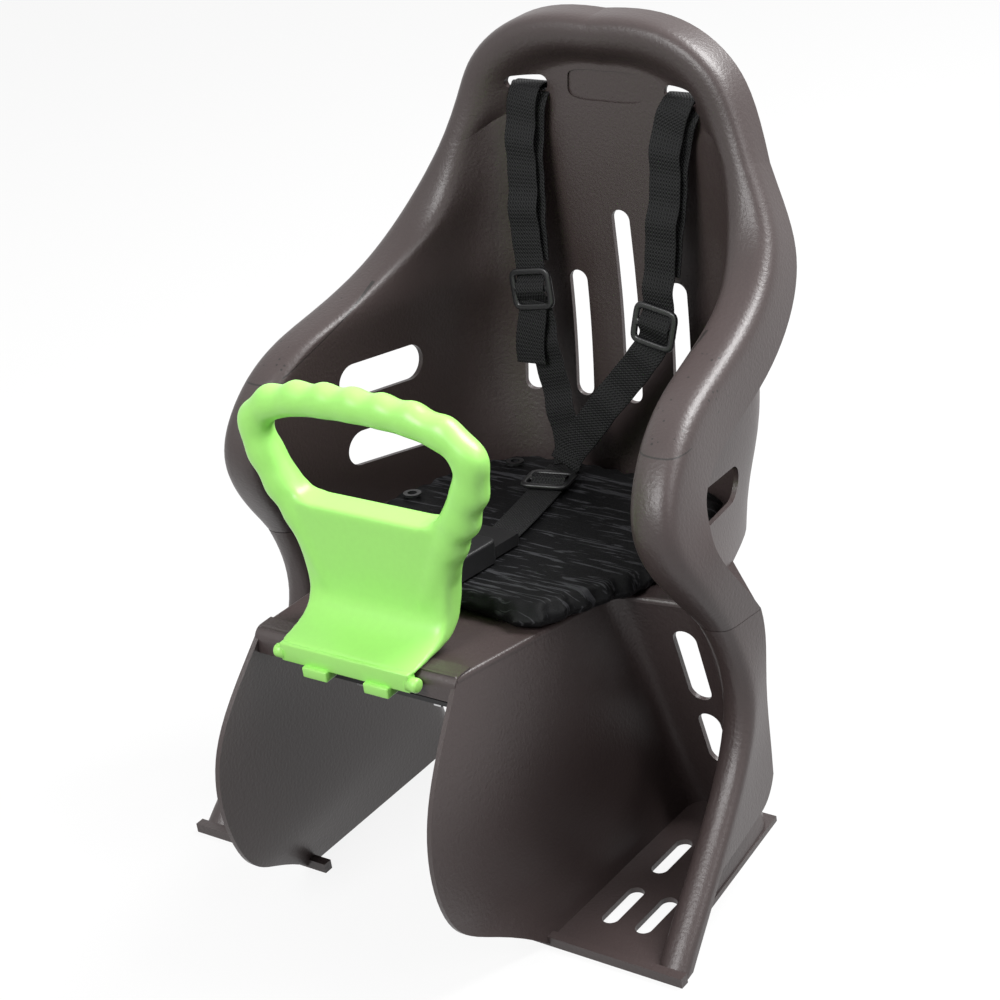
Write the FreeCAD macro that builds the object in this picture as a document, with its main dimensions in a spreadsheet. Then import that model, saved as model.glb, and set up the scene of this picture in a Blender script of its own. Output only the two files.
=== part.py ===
import FreeCAD, Part
import Sketcher
import math
import os

from FreeCAD import Placement, Rotation, Vector

# Rear child bike seat: a one-piece moulded shell with a pad, a grab handle, a harness and a rack clamp.
# All sizes are in millimetres and degrees. Each sub-part is drawn from the toe edge, the straight
# front edge of the two foot floors: +X is the child's left, +Y runs back, +Z is up from the floors.

doc = FreeCAD.newDocument("child_seat")
sheet = doc.addObject("Spreadsheet::Sheet", "Sizes")

DRIVING_SIZES = {
    # Place of the toe edge in front of the part's origin, which is under the middle of the seat
    "toe_to_origin": 124.6,
    # Shell walls
    "shell_wall": 3.6,
    "floor_plate": 4.0,
    "pan_plate": 4.0,
    # Crest of the rolled rim, from the toe corner up the leg guard, along the arm and over the head
    "toe_half_width": 205.0,
    "sole_half_width": 203.0,
    "sole_back": 29.0,
    "sole_height": 26.0,
    "instep_half_width": 199.0,
    "instep_back": 90.0,
    "instep_height": 80.0,
    "calf_half_width": 197.0,
    "calf_back": 123.0,
    "calf_height": 138.0,
    "knee_half_width": 192.0,
    "knee_back": 110.0,
    "arm_low_half_width": 191.0,
    "arm_low_back": 86.0,
    "arm_low_height": 236.0,
    "arm_front_half_width": 184.0,
    "arm_front_back": 74.0,
    "arm_front_height": 277.0,
    "arm_top_half_width": 177.0,
    "arm_top_back": 103.0,
    "arm_top_height": 321.0,
    "arm_mid_half_width": 168.0,
    "arm_mid_back": 168.0,
    "arm_mid_height": 345.0,
    "arm_rear_half_width": 161.0,
    "arm_rear_back": 232.0,
    "arm_rear_height": 364.0,
    "shoulder_half_width": 148.0,
    "shoulder_back": 275.0,
    "shoulder_height": 397.0,
    "neck_half_width": 126.0,
    "neck_back": 293.0,
    "neck_height": 437.0,
    "top_back": 306.0,
    "top_height": 521.0,
    # Rolled rim: width of its front face, depth of its outer skirt, corner set-backs
    "rim_face_guard": 20.0,
    "rim_face_arm": 30.0,
    "rim_face_head": 18.0,
    "skirt_waist": 30.0,
    "skirt_arm": 42.0,
    "skirt_shoulder": 38.0,
    "skirt_head": 26.0,
    "rim_inner_setback": 12.0,
    "rim_outer_setback": 11.0,
    "bucket_corner_setback": 62.0,
    "guard_corner_setback": 18.0,
    # Back of the bucket
    "back_reach": 322.0,
    "lumbar_step": 15.0,
    "lumbar_top": 350.0,
    "bucket_half_width": 131.0,
    "bucket_base_half_width": 104.0,
    "side_flare": 24.0,
    "corner_rise": 0.35,
    # Seat pan and front lip
    "pan_slope": 6.0,
    "lip_height": 210.0,
    "lip_reach": 24.0,
    "lip_half_width": 80.0,
    "lip_depth": 14.0,
    "lip_drop": 17.0,
    "lip_round": 8.0,
    "lip_roll": 4.0,
    "pan_bead": 0.4,
    "pan_edge_round": 3.0,
    "web_plate": 2.4,
    "web_overlap": 0.2,
    "pan_edge_half_width": 95.0,
    "pan_edge_back": 127.0,
    # Leg guard: bulging front edge of the inner wall, calf corner and heel
    "foot_half_gap": 104.0,
    "sole_half_gap": 95.0,
    "guard_half_gap": 87.0,
    "guard_bulge_sole": 34.0,
    "guard_bulge_sole_level": 26.0,
    "guard_bulge_low": 76.0,
    "guard_bulge_low_level": 66.0,
    "guard_bulge_high": 76.0,
    "guard_bulge_high_level": 142.0,
    "calf_line_half_width": 104.0,
    "heel_half_width": 167.0,
    "heel_back": 184.0,
    "skirt_heel_half_width": 183.0,
    "skirt_heel_back": 158.0,
    "skirt_level": 45.0,
    "skirt_corner_round": 25.0,
    "skirt_rim_depth": 14.0,
    "skirt_cut_gap": 5.0,
    "toe_edge_depth": 7.0,
    "toe_edge_height": 7.0,
    "toe_tab": 18.0,
    "guard_return": 30.0,
    "calf_edge_share": 0.72,
    "instep_edge_share": 0.43,
    "sole_edge_share": 0.14,
    # Openings in the shell
    "vent_width": 15.0,
    "vent_pitch": 42.0,
    "vent_bottom": 236.0,
    "vent_centre_top": 381.0,
    "vent_side_top": 331.0,
    "vent_outer_top": 290.0,
    "strap_slot_width": 30.0,
    "strap_slot_height": 12.0,
    "strap_slot_offset": 63.0,
    "strap_slot_drop": 51.0,
    "plate_width": 62.0,
    "plate_height": 22.0,
    "plate_drop": 50.0,
    "plate_recess": 1.4,
    "plate_margin": 3.0,
    "side_vent_length": 82.0,
    "side_vent_height": 26.0,
    "side_vent_back": 197.5,
    "side_vent_upper": 290.0,
    "side_vent_lower": 238.0,
    "side_vent_fall": 8.4,
    "side_vent_cut": 60.0,
    "vent_cut_depth": 60.0,
    "calf_vent_width": 17.0,
    "calf_vent_offset": 140.0,
    "calf_vent_upper": 139.5,
    "calf_vent_upper_length": 61.0,
    "calf_vent_lower": 73.0,
    "calf_vent_lower_length": 46.0,
    "calf_vent_cut": 70.0,
    "floor_vent_width": 12.0,
    "floor_vent_length": 42.0,
    "floor_vent_front": 52.0,
    "floor_vent_rear": 113.0,
    "floor_vent_inner": 128.0,
    "floor_vent_outer": 154.0,
    # Rack blocks under the pan, with a saddle for each carrier tube
    "block_half_width": 66.0,
    "block_length": 40.0,
    "block_height": 28.0,
    "block_front": 24.0,
    "block_rear": 228.0,
    "tube_radius": 6.0,
    "tube_offset": 52.0,
    "saddle_depth": 4.0,
    # Rack clamp: plates under the carrier tubes, pulled up by bolts into nuts sunk in the pan
    "bolt_offset": 32.0,
    "bolt_radius": 3.0,
    "bolt_clearance": 0.4,
    "nut_across": 10.0,
    "nut_height": 5.0,
    "nut_sink": 1.0,
    "seat_gap": 0.2,
    "washer_radius": 6.4,
    "washer_height": 1.6,
    "bolt_head_height": 4.0,
    "bolt_head_across": 10.0,
    "plate_thickness": 3.0,
    "plate_length": 24.0,
    "plate_corner_round": 5.0,
    # Seat pad
    "pad_thickness": 18.0,
    "pad_round": 7.0,
    "pad_front": 45.0,
    "pad_front_half_width": 88.0,
    "pad_corner_half_width": 128.0,
    "pad_corner_back": 140.0,
    "pad_rear": 292.0,
    "pad_rear_half_width": 100.0,
    "pad_corner_round": 50.0,
    "pad_front_round": 20.0,
    "soft_gap": 0.4,
    "eyelet_radius": 6.5,
    "eyelet_hole_radius": 3.5,
    "eyelet_height": 1.6,
    "eyelet_front_offset": 102.0,
    "eyelet_front_back": 170.0,
    "eyelet_rear_offset": 72.0,
    "eyelet_rear_back": 254.0,
    # Grab handle
    "handle_back": 15.0,
    "handle_depth": 25.0,
    "handle_rise": 163.0,
    "handle_half_width": 104.0,
    "handle_elbow_rise": 128.0,
    "handle_bar": 28.0,
    "handle_leg": 25.0,
    "handle_panel_rise": 80.0,
    "handle_waist": 58.0,
    "handle_waist_rise": 19.0,
    "handle_round": 9.0,
    "handle_bend_round": 12.0,
    "handle_bar_half_width": 78.0,
    "flange_gap": 0.4,
    "flange_thickness": 4.6,
    "flange_half_width": 54.0,
    "flange_round": 24.0,
    "flange_fall": 3.0,
    "flap_reach": 12.0,
    "flap_thickness": 7.0,
    "flap_drop": 12.4,
    "hook_offset": 26.0,
    "hook_width": 20.0,
    "hook_height": 7.0,
    "hook_reach": 3.0,
    "rod_radius": 3.8,
    "rod_end": 6.0,
    # Harness
    "webbing_width": 25.0,
    "webbing_thickness": 1.6,
    "adjuster_width": 40.0,
    "adjuster_height": 34.0,
    "adjuster_thickness": 4.0,
    "adjuster_bar": 6.0,
    "adjuster_slot": 7.0,
    "adjuster_round": 1.2,
    "adjuster_corner_round": 1.5,
    "adjuster_gap": 0.6,
    "crotch_rear": 262.0,
    "crotch_rear_offset": -33.0,
    "crotch_front": 132.0,
    "crotch_front_offset": 3.0,
    "tongue_round": 2.0,
    "anchor_drop": 6.0,
    "buckle_width": 42.0,
    "buckle_length": 46.0,
    "buckle_height": 16.0,
    "buckle_round": 5.0,
    "tongue_length": 30.0,
    "tongue_width": 34.0,
    "tongue_height": 8.0,
    "anchor_radius": 3.5,
    "anchor_length": 40.0,
    "anchor_gap": 0.4,
}

for row, (alias, value) in enumerate(DRIVING_SIZES.items(), start=1):
    sheet.set(f"A{row}", alias)
    sheet.set(f"B{row}", str(value))
    sheet.setAlias(f"B{row}", alias)
doc.recompute()


def size(alias):
    """Value of a driving size, read from the sheet."""
    return float(sheet.get(alias))


def toe_placement():
    """Place of every sub-part: the toe edge stands in front of the part's origin."""
    return Placement(Vector(0, -size("toe_to_origin"), 0), Rotation())


def solid_feature(name, shape):
    """A sub-part whose free form is set directly."""
    feature = doc.addObject("Part::Feature", name)
    feature.Label = name
    feature.Shape = shape
    feature.Placement = toe_placement()
    return feature


# Seat shell: pan plane and back surface

# The lumbar step stops growing this far below its top, as a share of its height over the pan
LUMBAR_LIMIT = 1.3


def pan_level(back):
    """Height of the middle of the pan plate at a distance behind the toe edge."""
    return size("lip_height") - math.tan(math.radians(size("pan_slope"))) * (back + size("lip_reach"))


def back_line(height):
    """Distance of the middle of the back wall behind the toe edge, with its lumbar step."""
    below = max(0.0, size("lumbar_top") - height) / (size("lumbar_top") - size("lip_height"))
    return size("back_reach") - size("lumbar_step") * min(below, LUMBAR_LIMIT) ** 2


def plate_level():
    """Height of the middle of the name plate."""
    return size("top_height") - size("plate_drop")


def blend(start, end, share):
    """Point between two points."""
    return start + (end - start) * share


# Shares of a straight run: where its lone control point stands, and the most a rounded corner may take
LEAD_SHARE = 0.35
TAIL_SHARE = 0.7
ARM_LIMIT = 0.46


def rounded_path(corners, setbacks, arc_points=5):
    """Points along a polyline whose inner corners are rounded by a curve that starts a set-back away."""
    points = [corners[0], blend(corners[0], corners[1], LEAD_SHARE)]
    for index, setback in enumerate(setbacks, start=1):
        before, corner, after = corners[index - 1:index + 2]
        arm_in = min(setback, ARM_LIMIT * (before - corner).Length)
        arm_out = min(setback, ARM_LIMIT * (after - corner).Length)
        start = corner + (before - corner).normalize() * arm_in
        end = corner + (after - corner).normalize() * arm_out
        for step in range(arc_points):
            share = step / (arc_points - 1)
            points.append(blend(blend(start, corner, share), blend(corner, end, share), share))
    points.append(blend(corners[-2], corners[-1], TAIL_SHARE))
    points.append(corners[-1])
    return points


class RimStation:
    """One cut across the rolled rim: its crest, its inner edge and the free edge of its skirt."""

    def __init__(self, crest, face, skirt):
        self.crest = crest
        self.face = face
        self.skirt = skirt
        self.inner = None
        self.edge = None


def crest_point(name):
    """Crest of the rim at a named station."""
    return Vector(size(f"{name}_half_width"), size(f"{name}_back"), size(f"{name}_height"))


# Course of the rim over the head: shares of the neck's half width, of the rise to the top and of the way back
HEAD_COURSE = {"nape": (0.913, 0.298, 0.46), "temple": (0.825, 0.571, 0.69), "crown": (0.556, 0.905, 0.92)}


def head_point(name):
    """Crest of the rim between the neck and the top of the head."""
    width_share, rise_share, back_share = HEAD_COURSE[name]
    neck = crest_point("neck")
    return Vector(neck.x * width_share, neck.y + (size("top_back") - neck.y) * back_share,
                  neck.z + (size("top_height") - neck.z) * rise_share)


def rim_stations():
    """Stations from the toe corner to the middle of the head."""
    knee_back = size("knee_back")
    knee = Vector(size("knee_half_width"), knee_back, pan_level(knee_back))
    crests = {
        "toe": Vector(size("toe_half_width"), 0, 0),
        "sole": crest_point("sole"),
        "instep": crest_point("instep"),
        "calf": crest_point("calf"),
        "knee": knee,
        "arm_low": crest_point("arm_low"),
        "arm_front": crest_point("arm_front"),
        "arm_top": crest_point("arm_top"),
        "arm_mid": crest_point("arm_mid"),
        "arm_rear": crest_point("arm_rear"),
        "shoulder": crest_point("shoulder"),
        "neck": crest_point("neck"),
        "nape": head_point("nape"),
        "temple": head_point("temple"),
        "crown": head_point("crown"),
        "top": Vector(0, size("top_back"), size("top_height")),
    }
    faces = {"toe": "guard", "sole": "guard", "instep": "guard", "calf": "guard", "knee": "guard",
             "neck": "head", "nape": "head", "temple": "head", "crown": "head", "top": "head"}
    skirts = {"arm_low": "waist", "shoulder": "shoulder", "neck": "head", "nape": "head", "temple": "head",
              "crown": "head", "top": "head"}
    stations = {}
    for name, crest in crests.items():
        face = size("rim_face_" + faces.get(name, "arm"))
        skirt = size("skirt_" + skirts.get(name, "arm"))
        stations[name] = RimStation(crest, face, skirt)
    order = list(crests)
    head_centre = Vector(0, 0, size("neck_height"))
    for index, name in enumerate(order):
        station = stations[name]
        below = crests[order[max(index - 1, 0)]]
        if name == "top":
            above = Vector(-below.x, below.y, below.z)
        else:
            above = crests[order[index + 1]]
        along = (above - below).normalize()
        if station.crest.z > head_centre.z:
            inward = Vector(-station.crest.x, 0, head_centre.z - station.crest.z).normalize()
        else:
            inward = Vector(-1, 0, 0)
        inward = (inward - along * inward.dot(along)).normalize()
        behind = inward.cross(along)
        station.inner = station.crest + inward * station.face
        station.edge = station.crest + behind * station.skirt
    set_guard_edges(stations)
    return stations


def set_guard_edges(stations):
    """The skirt of the leg guard is its outer side: it ends at the heel and follows the pan plane at the knee."""
    heel = Vector(size("skirt_heel_half_width"), size("skirt_heel_back"), 0)
    toe = stations["toe"]
    toe.inner = toe.crest + Vector(-toe.face, 0, 0)
    toe.edge = heel
    knee = stations["knee"]
    knee.inner = Vector(knee.crest.x - knee.face, knee.crest.y, knee.crest.z)
    knee_edge_back = knee.crest.y + knee.skirt
    knee.edge = Vector(knee.crest.x, knee_edge_back, pan_level(knee_edge_back))
    stations["calf"].edge = blend(heel, knee.edge, size("calf_edge_share"))
    stations["instep"].edge = blend(heel, knee.edge, size("instep_edge_share"))
    stations["sole"].edge = blend(heel, knee.edge, size("sole_edge_share"))


LOWER_ROWS = ["knee", "arm_low", "arm_front", "arm_top", "arm_mid", "arm_rear", "shoulder", "neck"]
UPPER_ROWS = ["neck", "nape", "temple", "crown", "top"]
GUARD_ROWS = ["toe", "sole", "instep", "calf", "knee"]
SPINE_SHARE = {"knee": 0.0, "arm_low": 0.09, "arm_front": 0.19, "arm_top": 0.31, "arm_mid": 0.47,
               "arm_rear": 0.63, "shoulder": 0.80, "neck": 1.0}
PLATE_COURSE = {"neck": (0, -1), "nape": (0.9, -0.82), "temple": (1, 0), "crown": (0.9, 0.82), "top": (0, 1)}
FULL_WIDTH_SHARE = 0.31
CALF_SHARE = {"toe": 0.0, "sole": 0.13, "instep": 0.36, "calf": 0.68, "knee": 1.0}
RIM_TAIL = 12


def spine_point(name):
    """Start of a bucket row: on the middle line of the back, or on the edge of the name plate's recess."""
    if name in PLATE_COURSE:
        across, up = PLATE_COURSE[name]
        height = plate_level() + up * size("plate_height") / 2
        return Vector(across * size("plate_width") / 2, back_line(height), height)
    bottom = pan_level(size("back_reach") - size("lumbar_step"))
    plate_bottom = plate_level() - size("plate_height") / 2
    height = bottom + (plate_bottom - bottom) * SPINE_SHARE[name]
    return Vector(0, back_line(height), height)


def bucket_corner(name, station):
    """Corner between the back and the side of the bucket on the row of a station."""
    spine = spine_point(name)
    height = spine.z + (station.inner.z - spine.z) * size("corner_rise")
    spread = min(1.0, SPINE_SHARE.get(name, 1.0) / FULL_WIDTH_SHARE)
    widest = size("bucket_base_half_width") + (size("bucket_half_width") - size("bucket_base_half_width")) * spread
    half_width = min(widest, max(station.inner.x - size("side_flare"), 0.0))
    corner = Vector(half_width, back_line(height), height)
    if name == "knee":
        corner.z = pan_level(corner.y)
    return corner


def bucket_row(name, station):
    """Points of one row of the bucket, from the middle of the back to the edge of the skirt."""
    spine = spine_point(name)
    if name == "knee":
        spine.z = pan_level(spine.y)
    setbacks = [size("bucket_corner_setback"), size("rim_inner_setback"), size("rim_outer_setback")]
    corners = [spine, bucket_corner(name, station), station.inner, station.crest, station.edge]
    return rounded_path(corners, setbacks)


def guard_row(name, station, knee):
    """Points of one row of a leg guard, from the bulging edge of the inner wall to the edge of the skirt."""
    reach = size("lip_reach")
    fronts = {
        "toe": Vector(size("foot_half_gap"), 0, 0),
        "sole": Vector(size("sole_half_gap"), -size("guard_bulge_sole"), size("guard_bulge_sole_level")),
        "instep": Vector(size("guard_half_gap"), -size("guard_bulge_low"), size("guard_bulge_low_level")),
        "calf": Vector(size("guard_half_gap"), -size("guard_bulge_high"), size("guard_bulge_high_level")),
        "knee": Vector(size("lip_half_width"), -reach, pan_level(-reach)),
    }
    calf_low = Vector(size("calf_line_half_width"), size("heel_back"), 0)
    calf_high = Vector(size("pan_edge_half_width"), size("pan_edge_back"), pan_level(size("pan_edge_back")))
    heel = Vector(size("heel_half_width"), size("heel_back") - size("shell_wall"), 0)
    side = (bucket_corner("knee", knee) - knee.inner).normalize()
    side_end = knee.inner + side * size("guard_return")
    share = CALF_SHARE[name]
    corners = [fronts[name], blend(calf_low, calf_high, share), blend(heel, side_end, share),
               station.inner, station.crest, station.edge]
    setbacks = [size("guard_corner_setback"), size("guard_corner_setback"),
                size("rim_inner_setback"), size("rim_outer_setback")]
    return rounded_path(corners, setbacks)


def mirrored(point):
    """Point on the other side of the middle plane."""
    return Vector(-point.x, point.y, point.z)


def extended(row, before, rim_row):
    """Row beyond the end of a wall: the rim follows its real course, the rest runs straight on."""
    wall = [last * 2 - previous for last, previous in zip(row, before)]
    return wall[:-RIM_TAIL] + rim_row[-RIM_TAIL:]


def wall_normals(row, below, above, flatten):
    """Wall normals along a row, from the neighbouring points, with no part along the flatten direction."""
    result = []
    for index in range(len(row)):
        across = row[min(index + 1, len(row) - 1)] - row[max(index - 1, 0)]
        along = above[index] - below[index]
        if along.Length < 1e-6:
            along = Vector(-1, 0, 0)
        normal = across.cross(along)
        if flatten is not None:
            normal = normal - flatten * normal.dot(flatten)
        if index == 0 and abs(row[0].x) < 1e-6:
            normal.x = 0
        result.append(normal.normalize())
    return result


def skin(rows, parameters, first, last):
    """Smooth surface whose rows are control rows of a cubic curve and whose columns pass through the points."""
    columns = []
    for index in range(len(rows[0])):
        curve = Part.BSplineCurve()
        curve.interpolate(Points=[row[index] for row in rows], Parameters=parameters)
        columns.append(curve)
    count = len(columns)
    knots = [float(value) for value in range(count - 2)]
    multiplicities = [4] + [1] * (count - 4) + [4]
    surface = Part.BSplineSurface()
    surface.buildFromPolesMultsKnots(
        [curve.getPoles() for curve in columns], multiplicities, columns[0].getMultiplicities(),
        knots, columns[0].getKnots(), False, False, 3, 3)
    surface.segment(knots[0], knots[-1], parameters[first], parameters[last])
    return surface


def ruled_face(first, second):
    """Straight face between two curves with the same knots."""
    surface = Part.BSplineSurface()
    surface.buildFromPolesMultsKnots(
        [first.getPoles(), second.getPoles()], [2, 2], first.getMultiplicities(),
        [0.0, 1.0], first.getKnots(), False, False, 1, 3)
    return surface.toShape()


class Wall:
    """Inner and outer skin of a wall of even thickness about a grid of points."""

    def __init__(self, rows, row_normals, first, last, thickness):
        parameters = [0.0]
        for before, after in zip(rows, rows[1:]):
            parameters.append(parameters[-1] + (after[-3] - before[-3]).Length)
        self.skins = []
        for offset in (thickness / 2, -thickness / 2):
            moved = []
            for row, directions in zip(rows, row_normals):
                moved.append([point + direction * offset for point, direction in zip(row, directions)])
            self.skins.append(skin(moved, parameters, first, last))
        self.faces = [surface.toShape() for surface in self.skins]
        self.start, self.end, self.low, self.high = self.skins[0].bounds()

    def side_face(self, value):
        """Face across the thickness along the start or the end of the rows."""
        return ruled_face(self.skins[0].uIso(value), self.skins[1].uIso(value))

    def end_face(self, value):
        """Face across the thickness along the first or the last row."""
        return ruled_face(self.skins[0].vIso(value), self.skins[1].vIso(value))


def closed_solid(faces):
    """Solid inside a set of faces that share their edges."""
    shell = Part.makeShell(faces)
    shell.sewShape()
    solid = Part.makeSolid(shell)
    if solid.Volume < 0:
        solid.reverse()
    return solid


def mirror_shape(shape):
    """Shape on the other side of the middle plane."""
    return shape.mirror(Vector(0, 0, 0), Vector(1, 0, 0))


def pan_normal():
    """Direction square to the pan plate."""
    slope = math.radians(size("pan_slope"))
    return Vector(0, math.sin(slope), math.cos(slope))


def bucket_solid(lower, upper, guard):
    """Back, sides and rim of the bucket, both halves sewn along the middle plane."""
    below_knee = extended(lower[0], lower[1], guard[-2])
    over_top = [mirrored(point) for point in upper[-2]]
    rows = [below_knee] + lower + upper[1:] + [over_top]
    flatten = {1: pan_normal(), len(rows) - 2: Vector(1, 0, 0)}
    directions = []
    for index in range(1, len(rows) - 1):
        directions.append(wall_normals(rows[index], rows[index - 1], rows[index + 1], flatten.get(index)))
    neck = len(lower) - 1
    after_neck = extended(lower[-1], lower[-2], upper[1])
    before_neck = extended(upper[0], upper[1], lower[-2])
    low_directions = [directions[0]] + directions[:neck + 1] + [directions[neck]]
    low_wall = Wall([below_knee] + lower + [after_neck], low_directions, 1, len(lower), size("shell_wall"))
    top_directions = [Vector(-normal.x, normal.y, normal.z) for normal in directions[-2]]
    high_directions = [directions[neck]] + directions[neck:] + [top_directions]
    high_wall = Wall([before_neck] + upper + [over_top], high_directions, 1, len(upper), size("shell_wall"))
    faces = low_wall.faces + high_wall.faces
    faces += [low_wall.side_face(low_wall.end), high_wall.side_face(high_wall.end)]
    faces += [high_wall.side_face(high_wall.start), low_wall.end_face(low_wall.low)]
    faces += [mirror_shape(face) for face in faces]
    return closed_solid(faces)


def guard_solid(guard, lower):
    """One leg guard: inner wall, calf wall, rolled rim and outer side."""
    above_knee = extended(guard[-1], guard[-2], lower[1])
    below_toe = [first * 2 - second for first, second in zip(guard[0], guard[1])]
    rows = [below_toe] + guard + [above_knee]
    flatten = {1: Vector(0, 0, 1), len(rows) - 2: pan_normal()}
    directions = []
    for index in range(1, len(rows) - 1):
        directions.append(wall_normals(rows[index], rows[index - 1], rows[index + 1], flatten.get(index)))
    wall = Wall(guard + [above_knee], directions + [directions[-1]], 0, len(guard) - 1, size("shell_wall"))
    faces = wall.faces + [wall.side_face(wall.start), wall.side_face(wall.end)]
    faces += [wall.end_face(wall.low), wall.end_face(wall.high)]
    return closed_solid(faces)


def row_curve(row):
    """Smooth curve controlled by the points of a row."""
    knots = [float(value) for value in range(len(row) - 2)]
    curve = Part.BSplineCurve()
    curve.buildFromPolesMultsKnots(row, [4] + [1] * (len(row) - 4) + [4], knots, False, 3)
    return curve


def plate_solid(outline_edges, thickness):
    """Plate about the middle plane of the pan, inside an outline given for one side."""
    edges = outline_edges + [mirror_shape(edge) for edge in outline_edges]
    face = Part.Face(Part.Wire(Part.__sortEdges__(edges)))
    normal = pan_normal()
    face.translate(normal * (-thickness / 2))
    return face.extrude(normal * thickness)


def web_solid(lower, guard, stations):
    """Thin web at the level of the pan that ties the bucket, the leg guards and the rolled rim together."""
    lip_corner = guard[-1][0]
    wall_curve = row_curve(lower[0])
    skirt_edge = guard[-1][-1]
    wall_end = wall_curve.parameter(blend(bucket_corner("knee", stations["knee"]), lower[0][7], 0.5))
    wall = wall_curve.toShape(wall_curve.FirstParameter, wall_end)
    edges = [Part.makeLine(Vector(0, lip_corner.y, lip_corner.z), lip_corner), row_curve(guard[-1]).toShape(),
             Part.makeLine(skirt_edge, wall_curve.value(wall_end)), wall]
    return plate_solid(edges, size("web_plate"))


def pan_solid(lower, stations):
    """Pan plate: its rear edge is buried in the bucket, its front part is a tongue with a proud edge."""
    proud = size("shell_wall") / 2 + size("pan_bead")
    knee = stations["knee"]
    side = (bucket_corner("knee", knee) - knee.inner).normalize()
    side_end = knee.inner + side * size("guard_return")
    corners = [Vector(0, -size("lip_reach"), 0),
               Vector(size("lip_half_width") + proud, -size("lip_reach"), 0),
               Vector(size("pan_edge_half_width") + proud, size("pan_edge_back") - proud, 0),
               Vector(side_end.x, side_end.y - proud, 0),
               bucket_corner("knee", knee)]
    for point in corners:
        point.z = pan_level(point.y)
    wall_curve = row_curve(lower[0])
    corner_end = wall_curve.parameter(lower[0][6])
    corners[-1] = wall_curve.value(corner_end)
    edges = [Part.makeLine(start, end) for start, end in zip(corners, corners[1:])]
    edges.append(wall_curve.toShape(wall_curve.FirstParameter, corner_end))
    plate = plate_solid(edges, size("pan_plate"))
    lift = pan_normal() * (size("pan_plate") / 2)
    marks = [blend(start, end, 0.5) + lift for start, end in zip(corners[1:3], corners[2:4])]
    marks += [mirrored(mark) for mark in marks]
    rounded = [edge for edge in plate.Edges
               if min((edge.CenterOfMass - mark).Length for mark in marks) < size("pan_plate") / 4]
    return plate.makeFillet(size("pan_edge_round"), rounded)


def pan_placement(across, back, above):
    """Place on the pan: the Y axis runs back along its slope, the height is taken from its middle plane."""
    slope = Rotation(Vector(1, 0, 0), -size("pan_slope"))
    start = Vector(0, -size("lip_reach"), pan_level(-size("lip_reach")))
    return Placement(start, slope).multiply(Placement(Vector(across, back, above), Rotation()))


def pan_box(half_width, length, height, back, above):
    """Box in the slope of the pan, centred across the seat."""
    box = Part.makeBox(2 * half_width, length, height)
    box.Placement = pan_placement(-half_width, back, above)
    return box


def rack_block(start):
    """Moulded block under the pan that rests on the carrier tubes."""
    height = size("block_height") + size("pan_plate") / 2
    return pan_box(size("block_half_width"), size("block_length"), height, size(start), -height)


def lip_solid():
    """Rolled front lip of the pan."""
    top = pan_level(-size("lip_reach")) + size("pan_plate") / 2
    depth = size("lip_depth") + size("lip_roll")
    half_width = size("lip_half_width") + size("shell_wall") / 2
    bar = Part.makeBox(2 * half_width, depth, size("lip_drop"))
    bar.translate(Vector(-half_width, -size("lip_reach") - size("lip_roll"), top - size("lip_drop")))
    front_top = [edge for edge in bar.Edges
                 if edge.BoundBox.YMax < -size("lip_reach") - size("lip_roll") + 0.1
                 and edge.BoundBox.ZMin > top - 0.1]
    return bar.makeFillet(size("lip_round"), front_top)


def floor_solid():
    """Foot floor with a thick front edge; the calf wall, the inner wall and the outer side stand on it."""
    half = size("shell_wall") / 2
    rim_rear = size("skirt_rim_depth")
    outline = [Vector(size("foot_half_gap"), 0, 0),
               Vector(size("calf_line_half_width"), size("heel_back"), 0),
               Vector(size("heel_half_width") + half, size("heel_back"), 0),
               Vector(size("toe_half_width") - size("rim_face_guard") + half, rim_rear, 0),
               Vector(size("toe_half_width") - half, rim_rear, 0),
               Vector(size("toe_half_width") + half, 0, 0)]
    face = Part.Face(Part.makePolygon(outline + [outline[0]]))
    plate = face.extrude(Vector(0, 0, size("floor_plate")))
    strip_start = size("foot_half_gap") - size("toe_tab")
    width = size("toe_half_width") - strip_start + half
    edge = Part.makeBox(width, size("toe_edge_depth"), size("toe_edge_height"))
    edge.translate(Vector(strip_start, -half, 0))
    return plate.fuse(edge)


def skirt_cutter():
    """Space under the outer skirt of a leg guard: its lower edge is level and ends in a round rear corner."""
    level = size("skirt_level")
    radius = size("skirt_corner_round")
    depth = size("skirt_rim_depth")
    rear = size("skirt_heel_back")
    crest_slope = size("instep_back") / size("instep_height")
    beyond = rear + 2 * radius
    below = -size("floor_plate")
    turn = math.sqrt(0.5) * radius
    corners = [Vector(0, beyond, below), Vector(0, depth + crest_slope * below, below),
               Vector(0, depth + crest_slope * level, level), Vector(0, rear - radius, level)]
    lobe_end = Vector(0, rear, level + radius)
    lobe_middle = Vector(0, rear - radius + turn, level + radius - turn)
    tail = Vector(0, beyond, level + radius)
    edges = [Part.makeLine(start, end) for start, end in zip(corners, corners[1:])]
    edges.append(Part.Arc(corners[-1], lobe_middle, lobe_end).toShape())
    edges += [Part.makeLine(lobe_end, tail), Part.makeLine(tail, corners[0])]
    profile = Part.Face(Part.Wire(edges))
    cutter = profile.extrude(Vector(2 * size("toe_half_width"), 0, 0))
    toe_side = size("toe_half_width") - size("rim_face_guard")
    lean = math.degrees(math.atan2(toe_side - size("heel_half_width"), size("heel_back")))
    cutter.Placement = Placement(Vector(toe_side + size("skirt_cut_gap"), 0, 0), Rotation(Vector(0, 0, 1), lean))
    return cutter


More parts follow.
